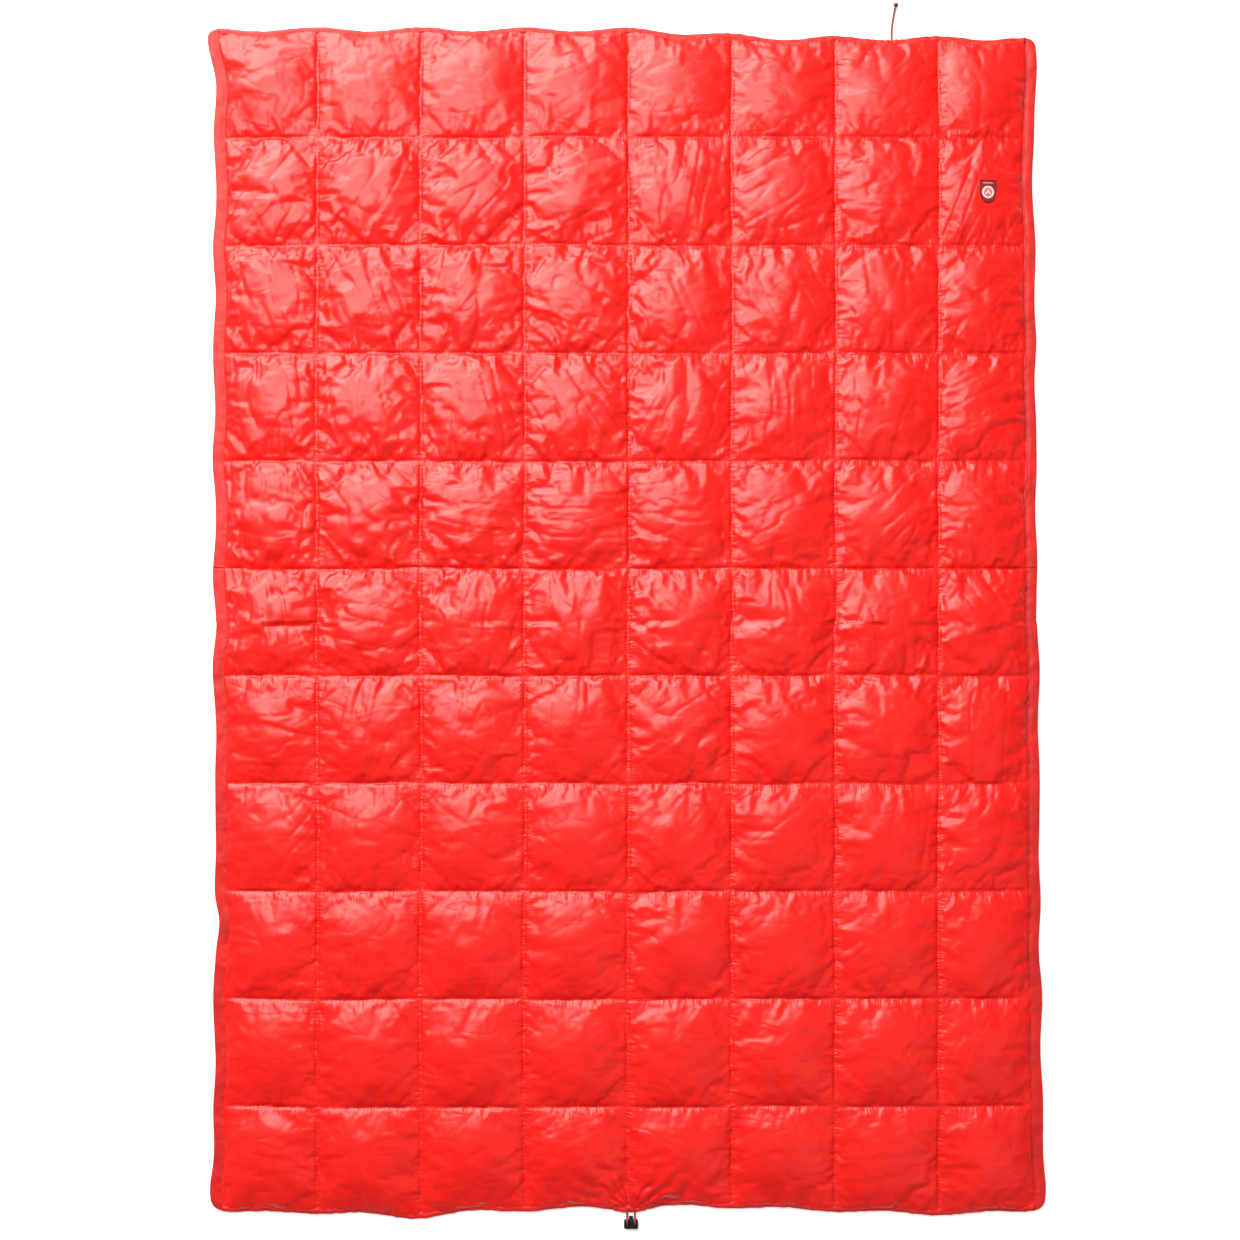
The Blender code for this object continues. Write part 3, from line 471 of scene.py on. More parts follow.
def grid_points(mesh, columns, rows):
    """For each vertex of a fresh grid, its place along the rows and columns."""
    places = np.empty(len(mesh.vertices) * 3)
    mesh.vertices.foreach_get("co", places)
    places = places.reshape(-1, 3)
    return np.rint((places[:, 1] + 0.5) * rows).astype(int), np.rint((places[:, 0] + 0.5) * columns).astype(int)


def set_uv(mesh, name, values):
    """Writes a UV map from one pair of numbers for each vertex."""
    layer = mesh.uv_layers.new(name=name)
    corners = np.empty(len(mesh.loops), int)
    mesh.loops.foreach_get("vertex_index", corners)
    layer.data.foreach_set("uv", values[corners].astype(np.float32).ravel())


def cloth_sheet(name, points, flat):
    """A grid of cloth through rows of points, with each point's place in the flat pattern as its UV map."""
    rows, columns = points.shape[0] - 1, points.shape[1] - 1
    bm = bmesh.new()
    bmesh.ops.create_grid(bm, x_segments=columns, y_segments=rows, size=0.5)
    mesh = bpy.data.meshes.new(name)
    bm.to_mesh(mesh)
    bm.free()
    i, j = grid_points(mesh, columns, rows)
    mesh.vertices.foreach_set("co", points[i, j].astype(np.float32).ravel())
    set_uv(mesh, "flat", flat[i, j])
    mesh.update()
    return mesh


def sewn_tube(name, around, along, place, material, uv="flat"):
    """A closed tube. place(turn, way) gives its points and their UVs for a turn round it and a way along it,
    both from 0 to 1."""
    bm = bmesh.new()
    bmesh.ops.create_grid(bm, x_segments=around, y_segments=along, size=0.5)
    mesh = bpy.data.meshes.new(name)
    bm.to_mesh(mesh)
    bm.free()
    i, j = grid_points(mesh, around, along)
    points, flat = place(j / around, i / along)
    mesh.vertices.foreach_set("co", points.astype(np.float32).ravel())
    set_uv(mesh, uv, flat)
    bm = bmesh.new()
    bm.from_mesh(mesh)
    bpy.data.meshes.remove(mesh)
    bmesh.ops.remove_doubles(bm, verts=bm.verts, dist=1e-6)
    bmesh.ops.holes_fill(bm, edges=[e for e in bm.edges if e.is_boundary], sides=0)
    bmesh.ops.recalc_face_normals(bm, faces=bm.faces)
    return finish_piece(bm, name, material)


def smooth_line(points, spacing):
    """A smooth curve through points (Catmull-Rom), read about a spacing apart."""
    points = [Vector(p) for p in points]
    padded = [2 * points[0] - points[1], *points, 2 * points[-1] - points[-2]]
    line = []
    for a, b, c, d in zip(padded, padded[1:], padded[2:], padded[3:]):
        count = max(1, round((c - b).length / spacing))
        for k in range(count):
            t = k / count
            line.append(
                0.5 * ((2 * b) + (c - a) * t + (2 * a - 5 * b + 4 * c - d) * t**2 + (3 * b - a - 3 * c + d) * t**3)
            )
    return np.array([*line, points[-1]], float)


def cord_along(name, line, diameter, material, sides=12, closed=False):
    """A round cord along a line, with rounded ends and a UV map of metres round it and along it."""
    if closed:
        ahead, behind = np.roll(line, -1, axis=0), np.roll(line, 1, axis=0)
    else:
        ahead, behind = np.vstack([line[1:], line[-1:]]), np.vstack([line[:1], line[:-1]])
    heading = ahead - behind
    heading /= np.linalg.norm(heading, axis=1)[:, None]
    side = np.cross(heading[0], (0.31, 0.17, 0.93))
    sides_of = []
    for h in heading:
        side = side - h * (side @ h)
        side /= np.linalg.norm(side)
        sides_of.append(side)
    sides_of = np.array(sides_of)
    rises = np.cross(heading, sides_of)
    steps = np.linalg.norm(np.diff(line, axis=0), axis=1)
    ways = np.concatenate([[0], np.cumsum(steps)])
    count = len(line) - 1
    radius = np.full(len(line), diameter / 2)
    if not closed:
        radius[[0, -1]] *= 0.55

    def place(turn, way):
        k = np.rint(way * count).astype(int)
        angle = 2 * math.pi * (turn % 1.0)
        across = sides_of[k] * np.cos(angle)[:, None] + rises[k] * np.sin(angle)[:, None]
        points = line[k] + across * radius[k][:, None]
        return points, np.stack([turn * math.pi * diameter, ways[k]], 1)

    return sewn_tube(name, sides, count, place, material, uv="along")


# ======================================================================== the cells
def cell_lines(edge, count, pitch):
    """The seams' places across the quilt, from one edge of the fabric to the other."""
    return np.array([-edge] + [pitch * (i - count / 2) for i in range(1, count)] + [edge])


def flat_pattern(squares):
    """The flat pattern's grid, with a number of squares along each cell: its x and y, and its cell parts."""
    across = np.arange(COLUMNS * squares + 1) / squares
    along = np.arange(ROWS * squares + 1) / squares
    x = np.interp(across, np.arange(COLUMNS + 1), cell_lines(FABRIC_X, COLUMNS, COLUMN))
    y = np.interp(along, np.arange(ROWS + 1), cell_lines(FABRIC_Y, ROWS, ROW))
    x, y = np.meshgrid(x, y)
    u, v = np.meshgrid(across, along)
    return x, y, u, v


def slack(u, v):
    """How loosely the face is cut, from 0 in the taut foot rows to 1 in the crumpled cells."""
    crumpled = (1 - ease(u, 3.6, 4.6)) * ease(v, 4.2, 5.6) * (1 - ease(v, 9.7, 10.4))
    taut_head = 1 - 0.6 * ease(v, 9.8, 10.2)
    return np.clip((0.15 + 0.5 * ease(v, 2.5, 6) + 0.5 * crumpled + 0.15 * ripple(u, v, 31)) * taut_head, 0, 1)


def puff_face(squares, steps):
    """Sews a slack grid of cloth down along the seams and blows it up with Blender's cloth simulation.
    Gives the height and the sideways drift of each point of the grid."""
    x, y, u, v = flat_pattern(squares)
    dome = 16 * (u % 1) * (1 - u % 1) * (v % 1) * (1 - v % 1)
    start = 10 * MM * dome**0.7 + 4 * MM * dome * ripple(x * 40, y * 40, 3)
    base = seam_height(x, y)
    mesh = cloth_sheet("face_cloth", np.stack([x, y, base + start], 2), np.stack([x, y], 2))
    cloth = add_object("face_cloth", mesh)
    i, j = grid_points_of(mesh, x, y)
    sewn = ((i % squares) == 0) | ((j % squares) == 0)
    seams = cloth.vertex_groups.new(name="seams")
    seams.add(np.flatnonzero(sewn).tolist(), 1.0, "REPLACE")
    loose = cloth.vertex_groups.new(name="slack")
    slackness = slack(u, v)
    for step in range(1, 11):
        members = np.flatnonzero(np.rint(slackness[i, j] * 10) == step)
        loose.add(members.tolist(), step / 10, "REPLACE")
    modifier = cloth.modifiers.new("cloth", "CLOTH")
    settings = modifier.settings
    settings.quality = 4
    settings.mass = 0.05
    settings.tension_stiffness = settings.compression_stiffness = 15
    settings.shear_stiffness = 5
    settings.bending_stiffness = 0.1
    settings.tension_damping = settings.compression_damping = settings.shear_damping = 5
    settings.bending_damping = 0.5
    settings.air_damping = 2
    settings.vertex_group_mass = "seams"
    settings.pin_stiffness = 1
    settings.vertex_group_shrink = "slack"
    settings.shrink_min, settings.shrink_max = -0.035, -0.075
    settings.use_pressure = True
    settings.uniform_pressure_force = 3
    settings.effector_weights.gravity = 0
    modifier.collision_settings.use_collision = False
    modifier.collision_settings.use_self_collision = False
    modifier.point_cache.frame_start, modifier.point_cache.frame_end = 1, steps
    scene = bpy.context.scene
    scene.frame_start, scene.frame_end = 1, steps
    for step in range(1, steps + 1):
        scene.frame_set(step)
    blown = cloth.evaluated_get(bpy.context.evaluated_depsgraph_get()).to_mesh()
    places = np.empty(len(blown.vertices) * 3)
    blown.vertices.foreach_get("co", places)
    result = np.empty((*x.shape, 3))
    result[i, j] = places.reshape(-1, 3)
    bpy.data.objects.remove(cloth)
    scene.frame_set(1)
    return result - np.stack([x, y, base], 2)


def grid_points_of(mesh, x, y):
    """For each vertex of a flat pattern's mesh, its row and column, found from its place."""
    places = np.empty(len(mesh.vertices) * 3)
    mesh.vertices.foreach_get("co", places)
    places = places.reshape(-1, 3)
    rows = np.abs(y[:, 0][None, :] - places[:, 1][:, None]).argmin(1)
    columns = np.abs(x[0][None, :] - places[:, 0][:, None]).argmin(1)
    return rows, columns


def finer(values, cells, squares):
    """Puts a point between each two along the first axis, on a smooth curve that starts anew at each seam."""
    blocks = np.stack([values[c * squares : (c + 1) * squares + 1] for c in range(cells)])
    middle = np.empty((cells, squares, *values.shape[1:]))
    middle[:, 1:-1] = (-blocks[:, :-3] + 9 * blocks[:, 1:-2] + 9 * blocks[:, 2:-1] - blocks[:, 3:]) / 16
    middle[:, 0] = (3 * blocks[:, 0] + 6 * blocks[:, 1] - blocks[:, 2]) / 8
    middle[:, -1] = (3 * blocks[:, -1] + 6 * blocks[:, -2] - blocks[:, -3]) / 8
    out = np.empty((cells * 2 * squares + 1, *values.shape[1:]))
    out[0::2] = values
    out[1::2] = middle.reshape(cells * squares, *values.shape[1:])
    return out


def limit(height, knee, top):
    """Follows height up to knee, then levels off below top."""
    return np.where(height > knee, knee + (top - knee) * np.tanh((height - knee) / (top - knee)), height)


def gathers_along(place, off, seam, pitch, reach, seed):
    """Short slanting gathers on both sides of a seam. place runs along it and off across it."""
    side = seam * 2 + (off > 0)
    slant = 0.9 * ripple(side * 3.7, place / (70 * MM), seed)
    wave = ripple(side * 5.3 + np.abs(off) / (60 * MM), (place + slant * np.abs(off)) / pitch, seed + 1)
    strength = 0.35 + 0.65 * np.abs(ripple(side * 7.1, place / (28 * MM), seed + 2))
    return (0.35 - 1.3 * np.abs(wave)) * strength * np.exp(-np.abs(off) / reach) * ease(np.abs(off), 0, 5 * MM)


def puckers(x, y):
    """The short gathers across the seams: fine along the lengthwise ones, longer at the crosswise ones."""
    column, row = np.rint(x / COLUMN + COLUMNS / 2), np.rint((y + HALF_LENGTH) / ROW)
    from_column = x - (column - COLUMNS / 2) * COLUMN
    from_row = y + HALF_LENGTH - row * ROW
    return 2.3 * MM * gathers_along(y, from_column, column, 8.5 * MM, 15 * MM, 41) + 2.2 * MM * gathers_along(
        x, from_row, row, 11 * MM, 24 * MM, 45
    )


def creases(x, y, u, v):
    """Sharp folds in the slack cells, each cell's in its own direction."""
    angle = 3.0 * ripple(np.floor(u) * 1.7 + 0.3, np.floor(v) * 1.3 + 0.7, 35)
    along, across = x * np.cos(angle) + y * np.sin(angle), y * np.cos(angle) - x * np.sin(angle)
    cell = np.floor(u) * 3.1 + np.floor(v) * 7.7
    line = ripple(along / (75 * MM) + cell, across / (21 * MM) + cell, 36)
    facet = ripple(along / (60 * MM) + cell, across / (30 * MM) - cell, 37)
    shown = ease(slack(u, v) + 0.45 * ripple(x / 0.05, y / 0.05, 38), 0.25, 0.8)
    return (0.3 + 0.7 * shown) * (1.6 * MM * np.abs(facet) - 1.7 * MM * np.exp(-((line / 0.12) ** 2)))


def lock_gathers(x, y):
    """Folds that fan out from the cord lock, where the drawcord holds the foot hem together."""
    far = np.hypot(x - LOCK_X, y + HALF_LENGTH)
    turn = np.arctan2(y + HALF_LENGTH, x - LOCK_X)
    fan = np.sin(turn * 17 + 2.2 * ripple(far / 0.02, turn * 2, 51))
    return 3.4 * MM * fan * np.exp(-far / 0.065) * ease(far, 6 * MM, 22 * MM)


def pattern_of(x, y):
    """The flat pattern's point that lies at x, y, which is lay_out() the other way round."""
    flat_x, flat_y = np.array(x, float), np.array(y, float)
    for _ in range(6):
        laid_x, laid_y = lay_out(flat_x, flat_y)
        flat_x, flat_y = flat_x + x - laid_x, flat_y + y - laid_y
    return flat_x, flat_y


def label_place():
    """The label's middle and its size."""
    low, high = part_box("label_patch")
    return (low + high) / 2, high - low


def settle_under_label(x, y, z):
    """Presses the face smooth under the label, which is stiffer than the nylon."""
    centre, size = label_place()
    flat_x, flat_y = (float(value) for value in pattern_of(centre.x, centre.y))
    near = np.hypot((x - flat_x) / (0.62 * size.x), (y - flat_y) / (0.62 * size.y))
    inside = near < 1.6
    a = np.stack([np.ones(inside.sum()), x[inside], y[inside], x[inside] ** 2, y[inside] ** 2], 1)
    a[:, 3] -= flat_x**2
    a[:, 4] -= flat_y**2
    fit = np.linalg.lstsq(a, z[inside], rcond=None)[0]
    level = fit[0] + fit[1] * x + fit[2] * y + fit[3] * (x**2 - flat_x**2) + fit[4] * (y**2 - flat_y**2)
    weight = 1 - ease(near, 1.0, 1.5)
    return z * (1 - weight) + level * weight, level


def pillow(u, v):
    """The down's smooth crown in each cell: steep at the seams, and domed over the middle."""
    by_u, by_v = 4 * (u % 1) * (1 - u % 1), 4 * (v % 1) * (1 - v % 1)
    return PILLOW_RISE * (by_u * by_v) ** 0.52 * (0.68 + 0.32 * by_u * by_v)


def usual_pillow(height, squares):
    """The mean of all the cells, repeated over the quilt."""
    blocks = height[:-1, :-1].reshape(ROWS, squares, COLUMNS, squares).mean((0, 2))
    tiled = np.tile(blocks, (ROWS, COLUMNS))
    return np.pad(tiled, ((0, 1), (0, 1)), mode="wrap")


def shape_face_and_lining():
    """The face's and the lining's points, row by row, before they are laid out."""
    blown = puff_face(CELL_SQUARES, CLOTH_STEPS)
    fine = finer(blown, ROWS, CELL_SQUARES)
    fine = finer(fine.transpose(1, 0, 2), COLUMNS, CELL_SQUARES).transpose(1, 0, 2)
    x, y, u, v = flat_pattern(2 * CELL_SQUARES)
    base = seam_height(x, y)
    crumple = fine[..., 2] - usual_pillow(fine[..., 2], 2 * CELL_SQUARES)
    rise = pillow(u, v) + (0.34 + 0.66 * slack(u, v)) * crumple
    rise = limit(rise, 18.5 * MM, FACE_TOP - SEAM_Z - LAYER)
    sewn = ease(np.minimum(u % 1, 1 - u % 1), 0, 0.02) * ease(np.minimum(v % 1, 1 - v % 1), 0, 0.02)
    face_z = base + LAYER + rise + (puckers(x, y) + creases(x, y, u, v) + lock_gathers(x, y)) * sewn
    face_z = np.minimum(np.maximum(face_z, base + LAYER), FACE_TOP)
    face_z, level = settle_under_label(x, y, face_z)
    face = np.stack([x + fine[..., 0], y + fine[..., 1], face_z], 2)
    # the lining crumples as the face does, seen from the other end, and the ground presses it flat
    turned = blown[::-1, ::-1]
    x2, y2, _, _ = flat_pattern(CELL_SQUARES)
    base2 = seam_height(x2, y2)
    drop = limit(0.62 * turned[..., 2] * (base2 / SEAM_Z), 0.5 * (base2 - LAYER), base2 - LAYER - 0.1 * MM)
    lining = np.stack([x2 - turned[..., 0], y2 - turned[..., 1], base2 - LAYER - np.maximum(drop, 0)], 2)
    return face, np.stack([x, y], 2), lining, np.stack([x2, y2], 2), level


def laid(points):
    """Points of the pattern, moved to where they lie."""
    x, y = lay_out(points[..., 0], points[..., 1])
    return np.stack([x, y, points[..., 2]], -1)


def quilt_part(name, low_row, high_row, shapes):
    """The sewn-through cells of some rows: face above, lining below, closed along the rim."""
    face, face_flat, lining, lining_flat, _ = shapes
    fine, coarse = 2 * CELL_SQUARES, CELL_SQUARES
    rows = slice(low_row * fine, high_row * fine + 1)
    top = cloth_sheet(name, laid(face[rows]), face_flat[rows])
    rows = slice(low_row * coarse, high_row * coarse + 1)
    under = cloth_sheet(name, laid(lining[rows]), lining_flat[rows])
    bm = bmesh.new()
    bm.from_mesh(under)
    bmesh.ops.reverse_faces(bm, faces=bm.faces)
    for polygon in bm.faces:
        polygon.material_index = 1
    bm.from_mesh(top)
    rim = [e for e in bm.edges if e.is_boundary]
    for edge in rim:
        edge.smooth = False
    bmesh.ops.bridge_loops(bm, edges=rim)
    piece = finish_piece(bm, name, FACE_NYLON)
    piece.data.materials.append(LINING_NYLON)
    bpy.data.meshes.remove(top)
    bpy.data.meshes.remove(under)
    return piece


def fold(piece):
    """Bakes a piece's transform into its mesh; it does not bend the piece between the quilt's middle and its head or
    foot flap.
    """
    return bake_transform(piece)


def cad_rows(first, last):
    return [f"down_fill_row_{row:02d}" for row in range(first, last + 1)]


def make_cells(shapes):
    head = quilt_part("quilt_cells_head", SPLIT_ROW, ROWS, shapes)
    fold(head)
    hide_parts("face_fabric_head", "lining_head", "face_fabric_middle", "lining_middle", *cad_rows(1, 5))
    foot = quilt_part("quilt_cells_foot", 0, SPLIT_ROW, shapes)
    fold(foot)
    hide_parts("face_fabric_foot", "lining_foot", *cad_rows(6, 11))


# ======================================================================== the hems
def make_side_hem(side, end):
    """One half of a side hem: a folded band, flat at its edge and pinched along its stitches."""
    low_y, high_y = (SPLIT_Y, HALF_LENGTH) if end == "head" else (-HALF_LENGTH, SPLIT_Y)
    sign = 1 if side == "right" else -1
    radius = 17 * MM if end == "head" else 20 * MM
    seed = {"left": 61, "right": 62}[side]

    def place(turn, way):
        angle = 2 * math.pi * (turn % 1.0)
        y = low_y + (high_y - low_y) * way
        from_corner = HALF_LENGTH - np.abs(y)
        cut = radius - np.sqrt(np.maximum(radius**2 - np.maximum(radius - from_corner, 0) ** 2, 0))
        half = SIDE_HEM_WIDTH / 2 - cut / 2
        inner = HALF_WIDTH - SIDE_HEM_WIDTH
        across = np.sign(np.cos(angle)) * np.abs(np.cos(angle)) ** 0.75
        up = np.sign(np.sin(angle)) * np.abs(np.sin(angle)) ** 0.45
        x = inner + half + across * half
        inset = x - inner
        pinch = (0.35 + 0.65 * ease(inset, 0, 3 * MM)) * (1 - 0.6 * swell(inset, SIDE_STITCH_INSET, 1.8 * MM))
        end_taper = 0.35 + 0.65 * ease(from_corner, 0, 6 * MM)
        gathers = ripple(inset / (9 * MM), y / (6 * MM), seed) * swell(inset, SIDE_STITCH_INSET, 6 * MM)
        wave = 0.9 * MM * ripple(inset / 0.014, y / 0.017, seed + 5)
        z = HEM_Z + up * SIDE_HEM_THICKNESS / 2 * pinch * end_taper
        z = z + np.where(up > 0, (0.7 * MM * gathers + wave) * end_taper, 0)
        z = np.maximum(z, 0.15 * MM)
        px, py = lay_out(sign * x, y)
        return np.stack([px, py, z], 1), np.stack([sign * x, y], 1)

    length = round((high_y - low_y) / (3 * MM))
    piece = sewn_tube(f"side_hem_{side}_{end}_half", 24, length, place, HEM_NYLON_PAINTED_SHADE)
    fold(piece)
    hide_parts(f"side_hem_{side}_{end}", f"side_hem_{side}_middle")


def make_end_hem(end):
    """The head or foot hem: a narrow tunnel for the drawcord, rolled round and gathered on its cord."""
    sign = 1 if end == "head" else -1
    seed = {"head": 71, "foot": 72}[end]
    reach = HALF_WIDTH - SIDE_HEM_WIDTH + 1.0 * MM

    def place(turn, way):
        angle = 2 * math.pi * (turn % 1.0)
        x = reach * (2 * way - 1)
        half = END_HEM_WIDTH / 2
        across = np.sign(np.cos(angle)) * np.abs(np.cos(angle)) ** 0.8
        up = np.sign(np.sin(angle)) * np.abs(np.sin(angle)) ** 0.6
        inset = half + across * half
        near_lock = swell(x, LOCK_X, 0.07) if end == "foot" else swell(x, TAIL_EXIT_X, 0.02)
        gathers = ripple(x / (8 * MM - 3 * MM * near_lock), inset / (14 * MM), seed)
        pinch = 0.3 + 0.7 * ease(inset, 0, 5 * MM)
        depth = (0.8 + 0.9 * near_lock) * MM
        z = HEM_Z + up * END_HEM_THICKNESS / 2 * pinch + np.where(up > 0, depth * gathers, 0)
        z = np.maximum(z, 0.1 * MM)
        y = HALF_LENGTH - END_HEM_WIDTH + inset + 0.4 * MM * gathers * (across > 0.3)
        px, py = lay_out(x, sign * y)
        return np.stack([px, py, z], 1), np.stack([x, sign * y], 1)

    piece = sewn_tube(f"{end}_hem_rolled", 20, round(2 * reach / (3 * MM)), place, HEM_NYLON_PAINTED_SHADE)
    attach(piece, "quilt_" + end)
    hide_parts(f"{end}_hem")


# ======================================================================== the stitching
def stitch_mesh():
    """One stitch, as thin as a thread: its points about its middle, and its faces."""
    bm = bmesh.new()
    bmesh.ops.create_icosphere(bm, subdivisions=1, radius=0.5)
    bmesh.ops.scale(bm, vec=(STITCH_LENGTH, STITCH_WIDTH, STITCH_WIDTH * 0.8), verts=bm.verts)
    points = np.array([v.co for v in bm.verts])
    faces = np.array([[v.index for v in f.verts] for f in bm.faces])
    bm.free()
    return points, faces


def sew(name, runs):
    """Sets stitches along runs. A run is its stitches' middles in the flat pattern, with heights, and the
    direction that it is sewn in."""
    shape, faces = stitch_mesh()
    points = []
    for middles, heading in runs:
        ways = np.array([heading, (-heading[1], heading[0])], float)
        local = shape[:, :1] * ways[0] + shape[:, 1:2] * ways[1]
        x, y = lay_out(middles[:, 0], middles[:, 1])
        placed = np.stack([x, y, middles[:, 2]], 1)[:, None, :] + np.column_stack([local, shape[:, 2]])[None]
        points.append(placed.reshape(-1, 3))
    points = np.concatenate(points)
    count = len(points) // len(shape)
    all_faces = (faces[None] + (np.arange(count) * len(shape))[:, None, None]).reshape(-1, 3)
    mesh = bpy.data.meshes.new(name)
    mesh.from_pydata(points.tolist(), [], all_faces.tolist())
    mesh.polygons.foreach_set("use_smooth", [True] * len(mesh.polygons))
    mesh.materials.append(THREAD)
    piece = add_object(name, mesh)
    return piece


def stitches_between(low, high):
    """Middles of the stitches between two places, a pitch apart."""
    count = max(1, int((high - low) / STITCH_PITCH))
    return low + (np.arange(count) + 0.5) * (high - low) / count


def seam_runs(low_y, high_y):
    """The quilting's runs within some rows, on the face and on the lining."""
    runs = []
    lines = [(column - COLUMNS / 2) * COLUMN for column in range(1, COLUMNS)]
    rows = [row * ROW - HALF_LENGTH for row in range(1, ROWS)]
    for side in (1, -1):
        for x in lines:
            y = stitches_between(max(low_y, -FABRIC_Y), min(high_y, FABRIC_Y))
            z = seam_height(x, y) + side * (LAYER + 0.15 * MM)
            runs.append((np.stack([np.full_like(y, x), y, z], 1), (0.0, 1.0)))
        for y in rows:
            if low_y - 1e-6 < y <= high_y - 1e-6 or (low_y < 0 and y <= low_y):
                x = stitches_between(-FABRIC_X, FABRIC_X)
                z = seam_height(x, y) + side * (LAYER + 0.15 * MM)
                runs.append((np.stack([x, np.full_like(x, y), z], 1), (1.0, 0.0)))
    return runs


def make_quilting():
    for end, low_y, high_y in (("head", SPLIT_Y, HALF_LENGTH), ("foot", -HALF_LENGTH, SPLIT_Y)):
        piece = sew(f"quilting_stitches_{end}_half", seam_runs(low_y, high_y))
        fold(piece)
        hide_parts(f"quilting_thread_{end}", "quilting_thread_middle")


def make_hem_stitching():
    top = HEM_Z + SIDE_HEM_THICKNESS / 2 * 0.42 + 0.25 * MM
    low = HEM_Z - SIDE_HEM_THICKNESS / 2 * 0.42 - 0.25 * MM
    inner = HALF_WIDTH - SIDE_HEM_WIDTH + SIDE_STITCH_INSET
    for side, sign in (("left", -1), ("right", 1)):
        for end, low_y, high_y in (("head", SPLIT_Y, HALF_LENGTH), ("foot", -HALF_LENGTH, SPLIT_Y)):
            margin = 8 * MM
            y = stitches_between(max(low_y, margin - HALF_LENGTH), min(high_y, HALF_LENGTH - margin))
            x = np.full_like(y, sign * inner)
            runs = [(np.stack([x, y, np.full_like(y, z)], 1), (0.0, 1.0)) for z in (top, low)]
            piece = sew(f"side_hem_stitches_{side}_{end}_half", runs)
            fold(piece)
            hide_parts(f"side_hem_stitching_{side}_{end}", f"side_hem_stitching_{side}_middle")
    for end, sign in (("head", 1), ("foot", -1)):
        x = stitches_between(-FABRIC_X, FABRIC_X)
        y = np.full_like(x, sign * (HALF_LENGTH - END_HEM_WIDTH + END_STITCH_INSET))
        heights = (HEM_Z + 2.1 * MM, HEM_Z - 2.1 * MM)
        runs = [(np.stack([x, y, np.full_like(x, z)], 1), (1.0, 0.0)) for z in heights]
        piece = sew(f"{end}_hem_stitches", runs)
        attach(piece, "quilt_" + end)
        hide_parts(f"{end}_hem_stitching")


# ======================================================================== drawcords, lock and label
def make_tail():
    """The head drawcord's free end, which leaves the hem near its right side and ends in a knot."""
    start = Vector((TAIL_EXIT_X, HALF_LENGTH, HEM_Z))
    edge = lay_out(TAIL_EXIT_X, HALF_LENGTH)
    line = smooth_line([start + Vector(p) * MM for p in TAIL_ROUTE], 1.2 * MM)
    tail = cord_along("head_drawcord_free_end", line, CORD_DIAMETER, CORD)
    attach(tail, "quilt_head")
    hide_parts("head_drawcord_tail")
    low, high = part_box("head_drawcord_knot")
    centre, size = np.array((low + high) / 2), (high - low).x
    t = np.linspace(0, 2 * math.pi, 73)
    loop = np.stack([np.sin(t) + 2 * np.sin(2 * t), np.cos(t) - 2 * np.cos(2 * t), -1.15 * np.sin(3 * t)], 1)
    thick = 0.46 * size
    loop *= (size - thick) / 2 / 2.55
    turned = np.stack([loop[:, 0], loop[:, 2] * 1.2, loop[:, 1] * 0.85], 1)
    knot = cord_along("head_drawcord_end_knot", centre + turned, thick, KNOT_CORD_PAINTED_SHADE, sides=12, closed=False)
    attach(knot, "quilt_head")
    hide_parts("head_drawcord_knot")


def make_hidden_cords():
    """The drawcords where they run inside the hems."""
    runs = (
        ("head_drawcord_in_hem", 1, -HALF_WIDTH + 41 * MM, TAIL_EXIT_X, "quilt_head", "head_drawcord"),
        ("foot_drawcord_in_hem_left", -1, -HALF_WIDTH + 41 * MM, LOCK_X - STRAND_HALF_SPACING, "quilt_foot", "foot_drawcord_left"),
        ("foot_drawcord_in_hem_right", -1, LOCK_X + STRAND_HALF_SPACING, HALF_WIDTH - 41 * MM, "quilt_foot", "foot_drawcord_right"),
    )
    for name, sign, low, high, body, node in runs:
        flat_x = np.linspace(low, high, max(8, round((high - low) / (9 * MM))))
        x, y = lay_out(flat_x, np.full_like(flat_x, sign * (HALF_LENGTH - CORD_INSET)))
        line = np.stack([x, y, np.full_like(x, HEM_Z)], 1)
        piece = cord_along(name, line, CORD_DIAMETER, CORD, sides=8)
        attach(piece, body)
        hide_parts(node)


def make_lock_strands():
    """The foot drawcord's two ends, from the hem into the cord lock."""
    for side, sign in (("left", -1), ("right", 1)):
        x = LOCK_X + sign * STRAND_HALF_SPACING
        line = smooth_line([(x, y * MM, z * MM) for y, z in STRAND_ROUTE], 0.9 * MM)
        piece = cord_along(f"foot_drawcord_strand_{side}", line, CORD_DIAMETER, CORD)
        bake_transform(piece)
        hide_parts(f"foot_drawcord_end_{side}")


def dress_lock():
    for node in ("cord_lock_body", "cord_lock_button"):
        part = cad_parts[node]
        part.data.materials.clear()
        part.data.materials.append(ACETAL)
    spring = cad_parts["cord_lock_spring"]
    spring.data.materials.clear()
    spring.data.materials.append(STEEL)


def shield_half_width(t):
    """Half the label's width, as a share, at a share t of the way down from its straight top."""
    below = np.clip((t - 0.42) / 0.58, 0, 1)
    return np.sqrt(np.maximum(1 - below**2.3, 0)) * (1 - 0.03 * np.clip(t / 0.42, 0, 1))


